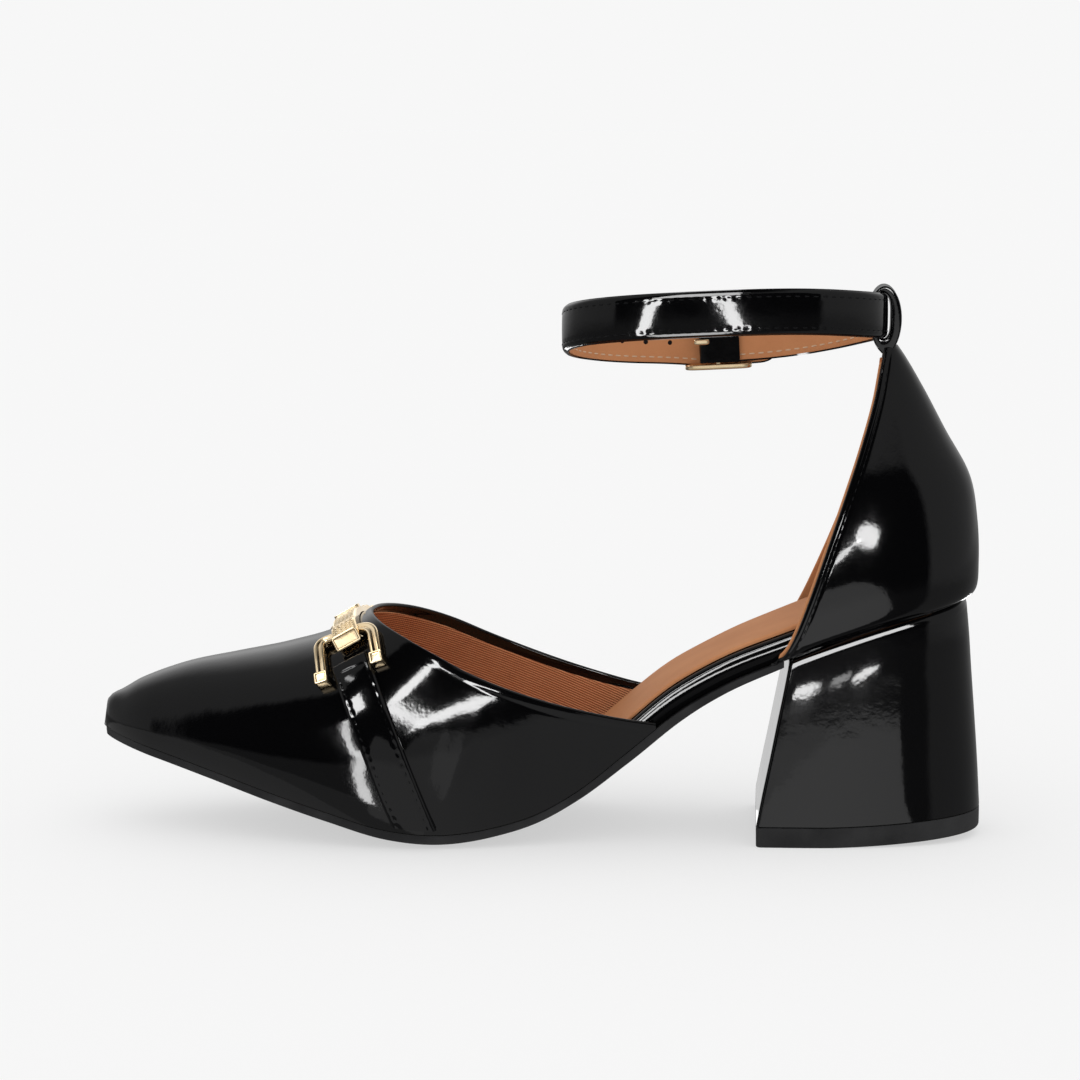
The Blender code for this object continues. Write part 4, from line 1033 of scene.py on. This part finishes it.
buckle_axes = (lean_x, np.array((0.0, 1.0, 0.0)), np.cross(lean_x, (0.0, 1.0, 0.0)))


def in_buckle(along, out, rise):
    """Point in the buckle's own directions, from the strap's middle line at the buckle."""
    a, b, c = buckle_axes
    return path[nearest] + along * a + out * b + rise * c


rod = BUCKLE_ROD / 2
deep = (BUCKLE_OUTER - BUCKLE_INNER) / 2
mid_out = (BUCKLE_OUTER + BUCKLE_INNER) / 2
reach = BUCKLE_HEIGHT / 2 - rod
end = BUCKLE_LENGTH / 2 - rod
post, rail = (rod, rod, reach), (BUCKLE_LENGTH / 2, deep, rod)
buckle_blocks = (
    ((0.0, mid_out, -reach), rail, 0.3), ((-end, BUCKLE_OUTER - rod, 0.0), post, 0.4),
    ((0.0, mid_out, reach), rail, 0.3), ((end, BUCKLE_OUTER - rod, 0.0), post, 0.4),
    ((0.0, BUCKLE_INNER + rod, 0.0), post, 0.5), (KEEPER_PLACE, KEEPER_SIZE, 0.5))
buckle_grids = [block(in_buckle(*place), buckle_axes, size, edge) for place, size, edge in buckle_blocks]
add_piece("buckle", buckle_grids, gold, ["buckle_frame"])

turn_back = np.linspace(-0.0052, 0.0062, 40)[:, None]
fold_share = np.sin(np.linspace(-np.pi / 2, np.pi / 2, 25))[None, :]
fold_half = STRAP_WIDTH / 2 - 0.0001
fold_round = np.sqrt(np.clip(1 - np.clip((-0.0030 - turn_back) / 0.0022, 0, 1) ** 2, 0, 1))
fold_in = -STRAP_THICK / 2 - 0.00005 - 0.0011 * fold_round
a, b, c = buckle_axes
fold_place = path[nearest] + turn_back[..., None] * a + (fold_share * fold_half)[..., None] * c
fold_face = fold_place + (fold_in + 0 * fold_share)[..., None] * b
fold_back = fold_place + (-STRAP_THICK / 2 + 0.0003 + 0 * turn_back * fold_share)[..., None] * b
add_piece("strap_turn_back", lapped(fold_face, fold_back), patent)

root, tip = in_buckle(*PRONG_ROOT, 0.0), in_buckle(*PRONG_TIP, 0.0)
prong_along = unit(tip - root)
prong_axes = (prong_along, np.cross(c, prong_along), c)
prong_size = (np.linalg.norm(tip - root) / 2, PRONG_ROD / 2, PRONG_ROD / 2)
prong = block((root + tip) / 2, prong_axes, prong_size, 0.5)
add_piece("prong", prong, gold, ["buckle_prong"])


# Stage
# A pale seamless sweep in even light, seen through a long lens at the height of the strap. The patent and the
# metal mirror a dark studio instead, with soft boxes tied to single pieces that show only as reflections.
CAMERA, AIM, LENS = Vector((0.05763, -0.93732, 0.22438)), Vector((0.00031, 0.0, 0.08069)), 113.56
PAPER_REACH, PAPER_GREY, PAPER_GLOW = 6.0, 0.40, 0.55
SEEN_LEVEL, ROOM_LEVEL = 0.931, 0.955
TO_BACK, TO_FRONT, UPWARD = (0.0, 1.0, 0.0), (0.0, -1.0, 0.0), (0.0, 0.0, 1.0)
paper = bpy.data.meshes.new("floor")
paper.from_pydata([(x * PAPER_REACH, y * PAPER_REACH, 0) for x, y in ((-1, -1), (1, -1), (1, 1), (-1, 1))], [],
                  [(0, 1, 2, 3)])
floor = bpy.data.objects.new("floor", paper)
bpy.context.scene.collection.objects.link(floor)
pale, pale_in, wire = finish("paper_white", (PAPER_GREY,) * 3, 0.9, specular=0.0)
pale_in["Emission Color"].default_value = (PAPER_GLOW, PAPER_GLOW, PAPER_GLOW, 1.0)
pale_in["Emission Strength"].default_value = 1.0
paper.materials.append(pale)
floor.visible_glossy = False

world = bpy.data.worlds.new("studio")
world.use_nodes = True
bpy.context.scene.world = world
wire = Wire(world.node_tree)
room = world.node_tree.nodes["Background"].inputs
room["Color"].default_value = (1.0, 1.0, 1.0, 1.0)
gloss, seen = (wire.node("ShaderNodeLightPath", {}, output=ray) for ray in ("Is Glossy Ray", "Is Camera Ray"))
way = wire.node("ShaderNodeTexCoord", {}, output="Generated")
to_x, to_y, to_z = (wire.node("ShaderNodeSeparateXYZ", {"Vector": way}, output=axis) for axis in "XYZ")


def ramp(value, start, end, low, high):
    """Smooth step of a wire from one level to another."""
    levels = {"Value": value, "From Min": start, "From Max": end, "To Min": low, "To Max": high}
    return wire.node("ShaderNodeMapRange", levels, interpolation_type="SMOOTHSTEP")


back_wall = ramp(to_y, 0.35, 0.92, 0.0, 0.75) * ramp(to_x, 0.1, 0.6, 1.0, 0.3)
back_wall = back_wall * ramp(to_z, 0.0, 0.35, 0.3, 1.0)
left_wall = ramp(to_y - 0.6 * to_x, -0.04, 0.06, 0.0, 0.29) * ramp(to_x, -0.25, -0.05, 1.0, 0.0)
right_wall = ramp(to_y, -0.71, -0.63, 0.0, 0.33) * ramp(to_x, 0.1, 0.4, 0.0, 1.0)
ceiling = ramp(to_z, 0.50, 0.56, 0.0, 0.33) * ramp(to_x, -0.05, 0.12, 0.0, 1.0)
ceiling = ceiling * ramp(to_y, -0.71, -0.63, 1.0, 0.0)
table_top = ramp(to_z, -0.14, -0.06, 1.0, 0.0)
table_level = ramp(to_x, 0.1, 0.5, 0.12, 0.05)
studio = (back_wall + left_wall + ceiling) * (1 - table_top) + table_top * table_level
studio = studio + right_wall * (1 - 0.5 * table_top)
(gloss * studio + seen * SEEN_LEVEL + (1 - gloss - seen) * ROOM_LEVEL).drive(room["Strength"])


def soft_box(on, name, centre, size, level, spin=0.0, face=TO_BACK, shape="RECTANGLE"):
    """Flat lamp that shows only as a reflection in some pieces: its middle, width and height, brightness, turn
    about its own face, and the way it faces."""
    lamp = bpy.data.lights.new(name, "AREA")
    lamp.shape = shape
    lamp.size, lamp.size_y = size
    lamp.energy = level * np.pi * size[0] * size[1] * (np.pi / 4 if shape == "ELLIPSE" else 1.0)
    box = bpy.data.objects.new(name, lamp)
    box.location = centre
    face = Vector(face)
    box.rotation_euler = (Quaternion(face, np.radians(spin)) @ face.to_track_quat("-Z", "Y")).to_euler()
    box.visible_diffuse = False
    bpy.context.scene.collection.objects.link(box)
    lit = bpy.data.collections.new(name)
    for piece in on.split():
        lit.objects.link(bpy.data.objects[piece])
    box.light_linking.receiver_collection = lit


side_straps = "side_strap_inner side_strap_outer"
all_patent = "vamp_upper rand_wrap counter_upper heel_cover strap_patent " + side_straps
for on, *boxes in (
    ("vamp_upper",
     ("tall_strip", (-0.325, -1.0, 0.67), (0.10, 0.32), 21),
     ("bent_strip", (-0.185, -1.0, 0.345), (0.42, 0.050), 21, 50),
     ("low_strip", (0.08, -1.0, 0.18), (0.32, 0.075), 21, 4),
     ("toe_strip", (-0.46, -1.0, 0.29), (0.038, 0.64), 16, -27),
     ("toe_strip_low", (-0.300, -1.0, -0.27), (0.085, 0.70), 14, 2),
     ("crease_card", (0.128, -0.97, -0.20), (0.08, 0.54), 0.22, -6, TO_BACK, "ELLIPSE"),
     ("front_board", (0.3455, -1.0, -0.5757), (1.18, 1.0), 0.31, 21.6),
     ("toe_card", (-0.192, -0.016, 0.0005), (0.30, 0.16), 0.13, 16, UPWARD),
     ("toe_card_near", (-0.187, -0.001, 0.0006), (0.30, 0.16), 0.13, 18, UPWARD)),
    (side_straps,
     ("high_square", (-0.72, -1.0, 0.78), (0.20, 0.48), 20, -35),
     ("side_board", (-0.059, -1.0, -0.416), (0.85, 1.0), 0.36, 21.6),
     ("stitch_card", (-0.787, -0.42, 0.912), (0.20, 0.05), 7, 0, (0.61, 0.33, -0.72))),
    ("rand_wrap",
     ("rand_strip", (-0.33, -1.0, 0.38), (0.75, 0.15), 14)),
    ("strap_patent",
     ("strap_left", (-0.287, -0.5, 0.105), (0.075, 0.24), 20, 30),
     ("strap_right", (0.066, -0.5, 0.108), (0.036, 0.20), 20, -25),
     ("strap_top", (-0.13, -0.6, 0.885), (0.44, 1.23), 12),
     ("strap_low", (-0.13, -0.6, -0.70), (0.44, 1.25), 10)),
    ("counter_upper",
     ("counter_disc", (0.170, -0.5, 0.199), (0.095, 0.068), 20, 20, TO_BACK, "ELLIPSE"),
     ("counter_tail", (0.095, -1.0, 0.245), (0.22, 0.030), 20, -35),
     ("counter_board", (0.17, -1.0, -0.25), (0.75, 0.68), 0.80, 0, TO_BACK, "ELLIPSE")),
    ("heel_cover",
     ("heel_glint", (0.0757, -0.13, 0.0263), (0.0150, 0.0066), 20, -8, TO_BACK, "ELLIPSE"),
     ("heel_glint_far", (0.1152, -0.13, 0.0273), (0.0240, 0.0048), 20, -8, TO_BACK, "ELLIPSE"),
     ("heel_glint_mid", (0.0950, -0.13, 0.0285), (0.0140, 0.0050), 6, -15, TO_BACK, "ELLIPSE"),
     ("heel_roll", (0.08, -0.6, 0.42), (0.56, 0.70), 16, -20),
     ("breast_card", (-0.03, 1.0, -0.16), (0.30, 0.25), 0.62, 0, TO_FRONT),
     ("table_card", (0.0003, -0.1408, 0.0005), (0.30, 0.24), 0.45, 25, UPWARD),
     ("table_card_mid", (0.0547, -0.1154, 0.0006), (0.18, 0.24), 0.15, 25, UPWARD),
     ("table_card_end", (0.0954, -0.0963, 0.0007), (0.09, 0.24), 0.20, 25, UPWARD)),
    ("trim buckle prong",
     ("metal_wall", (-1.0, -0.25, 1.10), (1.4, 1.6), 0.52, 0, (1.0, 0.0, 0.0)),
     ("metal_spark", (-0.8, -0.7, 0.80), (0.30, 0.30), 7, 0, (0.7, 0.7, 0.0)),
     ("metal_back", (0.0, 1.2, 0.2), (1.6, 1.4), 0.55, 0, TO_FRONT),
     ("metal_fill", (0.0, -1.2, 0.1), (2.4, 2.0), 0.22)),
    ("trim",
     ("plate_card", (-0.50, -1.0, 0.32), (0.42, 0.34), 1.4),
     ("foot_card", (-0.59, -0.25, 0.86), (0.35, 0.35), 2.2, 0, (0.55, 0.22, -0.81)),
     ("foot_card_low", (-0.26, -1.0, 0.29), (0.30, 0.25), 1.8)),
    ("buckle prong",
     ("buckle_card", (0.05, -1.0, 0.10), (0.5, 0.36), 0.5)),
    (all_patent,
     ("back_left", (-0.42, 1.0, -0.62), (0.12, 0.72), 13, -8, TO_FRONT),
     ("back_right", (0.38, 1.0, -0.62), (0.16, 0.72), 13, 8, TO_FRONT),
     ("back_board", (0.0, 1.0, -0.66), (1.5, 0.60), 0.5, 0, TO_FRONT))):
    for box in boxes:
        soft_box(on, *box)

lens = bpy.data.cameras.new("camera")
lens.sensor_width = 36.0
lens.lens = LENS
camera = bpy.data.objects.new("camera", lens)
camera.location = CAMERA
camera.rotation_euler = (AIM - CAMERA).to_track_quat("-Z", "Y").to_euler()
bpy.context.scene.collection.objects.link(camera)
bpy.context.scene.camera = camera
bpy.context.scene.view_settings.view_transform = "Standard"
